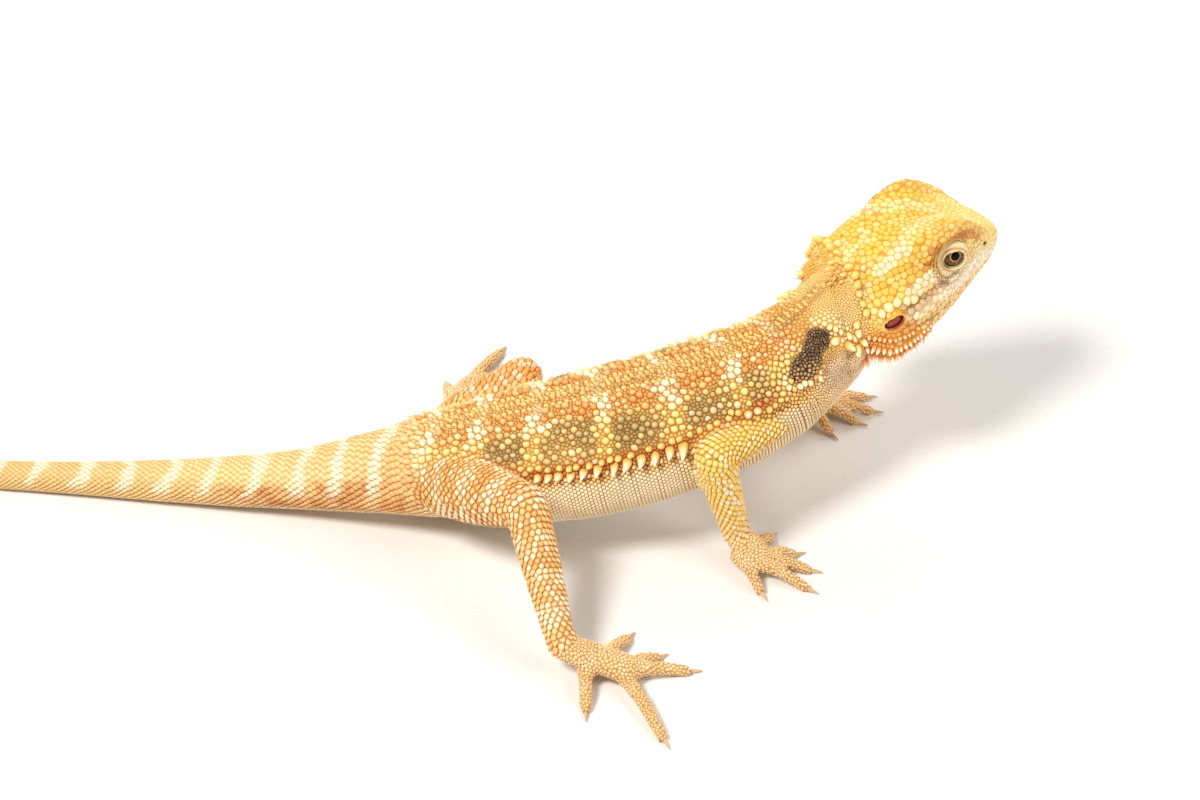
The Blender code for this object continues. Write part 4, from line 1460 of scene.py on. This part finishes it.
def cone_piece(name, surface, region, here, sheet, cones, shade):
    """The cones of the flanks, the beard, the neck and the back of the head, as one mesh."""
    places, facing, lie = here["points"], here["facing"], here["lie"]
    _, length, width, full, below, tip = cones
    reach, forward, across = sheet
    rim = rim_of(surface, places, (np.minimum(reach, 0.62 * width[:, None]), forward, across), 1.0)
    way = unit(facing + 0.14 * lie - np.array((0, 0, 0.22)))
    levels = [rim - facing[:, None] * CONE_SINK]
    for slim, bulging, height in CONE_RINGS:
        bend = way * (length * height)[:, None] + lie * (CONE_BEND * length * height**2)[:, None]
        share = slim + (bulging - slim) * full
        levels.append(places[:, None] + (rim - places[:, None]) * share[:, None, None] + bend[:, None])
    levels.append((places + way * length[:, None] + lie * (CONE_BEND * length)[:, None])[:, None])
    # the foot of each cone darker: painted shade where it meets the skin
    tones = [below * (0.78, 0.66, 0.5), below, below * 0.4 + tip * 0.6, tip, tip]
    return joined(name, levels, tones, chart_of(here, region), shade)


def piece_names(here):
    """The coat piece that each scale belongs to."""
    arc, low = here["arc"], here["low"]
    names = np.array([region.partition("_")[0] for region in REGIONS])[here["weights"].argmax(1)]
    spine = names == "spine"
    stretches = [spine & (arc < 26), spine & (arc > TAIL_START), spine & (low > 72), spine]
    return np.select(stretches, ["neck", "tail", "belly", "back"], names)


def pick(value, own):
    """The chosen rows of an array, or of each array in a group of them."""
    if isinstance(value, dict):
        return {key: pick(part, own) for key, part in value.items()}
    if isinstance(value, (tuple, list)):
        return [part[own] for part in value]
    return value[own]


def build_coat(surface, shade):
    """All the scales, in one joined mesh for each region and kind."""
    places, triangle, size, kind, row, cones = all_places(surface)
    here = surface.facts(places, triangle)
    form, tones = shape_of(here, size, kind), tones_of(here, size, kind)
    names = piece_names(here)
    large = (size > LARGE_WIDTH) | (kind == CONE)
    built = []
    for sides, chosen in ((8, large), (6, ~large)):
        sheets = cells(places, here["facing"], here["lie"], size, sides)
        for region in np.unique(names).tolist():
            for spiny in (False, True):
                own = chosen & (names == region) & ((kind == CONE) == spiny)
                if own.sum() < 3:
                    continue
                common = surface, region, pick(here, own), pick(sheets, own)
                if spiny:
                    built.append(cone_piece(f"spines_{region}", *common, pick(cones, row[own]), shade))
                else:
                    label = f"scales_{region}_{'large' if sides == 8 else 'small'}"
                    built.append(scale_piece(label, *common, pick(form, own), pick(tones, own), shade))
    return built


# ---------------------------------------------------------------- eyes

GAZE = (-0.17, 1.0, 0.30)
PUPIL, PUPIL_RING, IRIS = 16.5, 19.0, 44.0  # degrees from the middle of the gaze


def eye_tones(angle, turn):
    """Black pupil, a thin gold ring and a brown iris with painted shadow of the upper lid across its top,
    with streaks outwards.
    """
    points = np.stack([angle * 0.06, np.cos(turn) * 2.2, np.sin(turn) * 2.2], 1)
    ring = ramp(angle, PUPIL - 0.4, PUPIL + 0.4) * (1 - ramp(angle, PUPIL_RING, PUPIL_RING + 1.5))
    return layered(
        np.tile(rgb(108, 66, 34), (len(points), 1)),
        # painted shadow of the upper lid over the top of the iris
        (rgb(54, 38, 22), 0.85 * ramp(np.sin(turn), -0.4, 0.7)),
        (rgb(196, 150, 92), 0.5 * clamp(noise(points * (1, 4, 4), 1.0, 61))),
        (rgb(60, 38, 22), 0.5 * clamp(noise(points * (3, 2, 2), 1.0, 62))),
        (rgb(44, 28, 18), ramp(angle, IRIS - 9, IRIS)),
        (rgb(226, 190, 120), 0.85 * ring),
        (rgb(10, 8, 7), 1 - ramp(angle, PUPIL - 0.5, PUPIL + 0.3)),
    )


def build_eye(side, shade):
    """One eyeball, with its clear bulge over the iris, turned the way the animal looks."""
    across = -1.0 if side == "right" else 1.0
    gaze = unit(HEAD_TURN @ (np.array(GAZE) * (1, across, 1)))
    ahead = HEAD_TURN @ np.array((1.0, 0, 0))
    forward = unit(ahead - gaze * dot(ahead, gaze))
    upward = np.cross(gaze, forward) * -across
    rings, segments = 72, 96
    angle = np.repeat(np.linspace(0.35, 179.65, rings), segments)
    turn = np.tile(circle(segments), rings)
    polar = np.radians(angle)
    round_gaze = forward * np.cos(turn)[:, None] + upward * np.sin(turn)[:, None]
    out = gaze * np.cos(polar)[:, None] + round_gaze * np.sin(polar)[:, None]
    radius = EYE_RADIUS * 0.985 * (1 + 0.055 * hump(angle, 0, 30))
    points = from_head((EYE * (1, across, 1))[None])[0] + out * radius[:, None]
    k = np.arange(segments)
    after = (k + 1) % segments
    low = (np.arange(rings - 1) * segments)[:, None]
    high = low + segments
    quads = np.stack([low + k, low + after, high + after, high + k], axis=2).reshape(-1, 4)
    ends = [k[None, ::-1], (rings - 1) * segments + k[None]]
    if across < 0:
        quads, ends = quads[:, ::-1], [end[:, ::-1] for end in ends]
    data = mesh_from(f"eyeball_{side}", (points + SHIFT) * MM, quads, *ends)
    write_tone(data, eye_tones(angle, turn))
    return object_of(data, shade)


# ---------------------------------------------------------------- materials


class Shade:
    """A material with noise over the object, for its colour, its roughness and its relief."""

    def __init__(self, name, noise_scale, noise_detail):
        self.material = bpy.data.materials.new(name)
        self.material.use_nodes = True
        self.tree = self.material.node_tree
        self.shader = self.tree.nodes["Principled BSDF"]
        self.noise = self.node("TexNoise", Scale=noise_scale, Detail=noise_detail)
        self.link(self.node("TexCoord"), "Object", self.noise, "Vector")

    def node(self, kind, settings=(), **values):
        """A new node with its settings and the values of its inputs."""
        made = self.tree.nodes.new("ShaderNode" + kind)
        for key, value in settings:
            setattr(made, key, value)
        for key, value in values.items():
            made.inputs[key.replace("_", " ")].default_value = value
        return made

    def link(self, source, output, target, into):
        self.tree.links.new(source.outputs[output], target.inputs[into])

    def tinted(self, mix, factor, output):
        """Gives the shader a mix of two colours, as strong as the factor's output says."""
        self.link(factor, output, mix, "Factor")
        self.link(mix, "Result", self.shader, "Base Color")

    def relief(self, strength, depth):
        bump = self.node("Bump", Strength=strength, Distance=depth)
        self.link(self.noise, "Fac", bump, "Height")
        self.link(bump, "Normal", self.shader, "Normal")


def tone_material(name, rough, noise_scale, bump, spread, specular=0.3):
    """Skin or scale: the painted tone, broken up by fine noise, with a soft sheen and a fine bump."""
    made = Shade(name, noise_scale, 3.0)
    darker = made.node("Mix", [("data_type", "RGBA"), ("blend_type", "MULTIPLY")], B=(0.80, 0.70, 0.58, 1))
    made.link(made.node("Attribute", [("attribute_name", "tone")]), "Color", darker, "A")
    strength = made.node("MapRange", From_Min=0.35, From_Max=0.75, To_Max=spread)
    made.link(made.noise, "Fac", strength, "Value")
    made.tinted(darker, strength, "Result")
    gloss = made.node("MapRange", To_Min=rough - 0.08, To_Max=rough + 0.1)
    made.link(made.noise, "Fac", gloss, "Value")
    made.link(gloss, "Result", made.shader, "Roughness")
    made.relief(bump, 0.00006)
    made.shader.inputs["Specular IOR Level"].default_value = specular
    return made.material


def eye_material():
    """A wet eyeball: the painted iris under a clear coat."""
    made = tone_material("eyeball", 0.3, 5000.0, 0.08, 0.15, specular=0.05)
    shader = made.node_tree.nodes["Principled BSDF"]
    shader.inputs["Coat Weight"].default_value = 0.12
    shader.inputs["Coat Roughness"].default_value = 0.03
    return made


def mottled_material(name, light, dark, rough, noise_scale, noise_detail=4.0, bump=0.0):
    """Horn, membrane or floor: two colours mottled by noise, with a fine bump where asked."""
    made = Shade(name, noise_scale, noise_detail)
    tint = made.node("Mix", [("data_type", "RGBA")], A=(*light, 1), B=(*dark, 1))
    made.tinted(tint, made.noise, "Fac")
    made.shader.inputs["Roughness"].default_value = rough
    if bump:
        made.relief(bump, 0.00005)
    return made.material


def dress_nodes():
    """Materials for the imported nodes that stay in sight."""
    claw = mottled_material("claw_horn", rgb(236, 204, 156), rgb(176, 128, 84), 0.35, 900.0, bump=0.3)
    drum = mottled_material("eardrum_skin", rgb(164, 68, 42), rgb(116, 34, 20), 0.45, 1500.0, bump=0.4)
    for name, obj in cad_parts.items():
        shade = claw if "claw" in name else drum if name.startswith("eardrum") else None
        if shade:
            for slot in obj.material_slots:
                slot.material = shade


# ---------------------------------------------------------------- stage, lights and camera

# Name, place, size and power of each light.
LIGHTS = (
    ("key", (-0.35, -0.35, 0.75), 0.28, 7.7),
    ("fill", (0.85, -0.3, 0.6), 0.7, 4.0),
    ("rim", (0.15, 0.65, 0.6), 0.5, 2.5),
)
LIGHTS_AIM = Vector((0.07, 0.0, 0.02))
CAMERA_DOWN, CAMERA_DISTANCE = math.radians(37), 0.56


def build_floor():
    """A pale matt floor with a faint grain."""
    corners = np.array([(-2, -2, 0), (2, -2, 0), (2, 2, 0), (-2, 2, 0)])
    floor = object_of(mesh_from("floor", corners, np.array([(0, 1, 2, 3)])))
    shade = mottled_material("floor", rgb(232, 228, 221), rgb(241, 238, 233), 0.75, 900.0, noise_detail=2.0)
    floor.data.materials.append(shade)


def build_lights():
    """An even pale surrounding and three soft lights."""
    world = bpy.data.worlds.new("studio")
    world.use_nodes = True
    background = world.node_tree.nodes["Background"]
    background.inputs["Color"].default_value = (*rgb(250, 250, 252), 1)
    background.inputs["Strength"].default_value = 0.38
    bpy.context.scene.world = world
    for name, place, size, power in LIGHTS:
        light = bpy.data.lights.new(name, "AREA")
        light.shape = "DISK"
        light.size = size
        light.energy = power
        lamp = bpy.data.objects.new(name, light)
        bpy.context.scene.collection.objects.link(lamp)
        lamp.location = place
        lamp.rotation_euler = (LIGHTS_AIM - lamp.location).to_track_quat("-Z", "Y").to_euler()


def build_camera():
    """The camera looks down at the place under the middle of the picture."""
    lens = bpy.data.cameras.new("camera")
    lens.lens = 87.36
    lens.sensor_width = 36.0
    lens.clip_start = 0.01
    camera = bpy.data.objects.new("camera", lens)
    bpy.context.scene.collection.objects.link(camera)
    away = Vector((0, -math.cos(CAMERA_DOWN), math.sin(CAMERA_DOWN)))
    camera.location = Vector(SHIFT * MM) + away * CAMERA_DISTANCE
    camera.rotation_euler = (math.pi / 2 - CAMERA_DOWN, 0, 0)
    bpy.context.scene.camera = camera
    bpy.context.scene.view_settings.view_transform = "Standard"


# ---------------------------------------------------------------- the whole


def paint_skin(data, here):
    """The same markings on the skin, darker with joint colour and painted shade where it shows only between
    scales, but not on lids and ears.
    """
    here["facing"] = normals_of(data)
    tone = paint(here)
    eye, ear = eye_place(here["head"])[3], ear_place(here["head"])
    bare = np.maximum(1 - ramp(eye, 1.5, 2.2), 1 - ramp(ear, 1.0, 1.4)) * share_of(here, "head")
    seam_and_shade = seam_and_shade_tone(tone, here)
    write_tone(data, seam_and_shade + (tone - seam_and_shade) * bare[:, None])


def build_animal():
    """Skin, scales and eyeballs, each riding on the one body."""
    flesh = [obj for name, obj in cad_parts.items() if is_flesh(name)]
    skin_shade = tone_material("skin", 0.6, 2600.0, 0.35, 0.4)
    scale_shade = tone_material("scales", 0.5, 3800.0, 0.3, 0.35)
    skin, here = build_skin(flesh, skin_shade)
    surface = Surface(skin.data, here["weights"])
    paint_skin(skin.data, here)
    coat = build_coat(surface, scale_shade)
    set_points(skin.data, (points_of(skin.data) + SHIFT) * MM)
    for piece in (skin, *coat):
        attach(piece, "root")
    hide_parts(*[obj.name for obj in flesh])
    wet = eye_material()
    for side in ("right", "left"):
        eyeball = build_eye(side, wet)
        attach(eyeball, "root")
        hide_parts(f"eye_{side}")


build_animal()
dress_nodes()
build_floor()
build_lights()
build_camera()
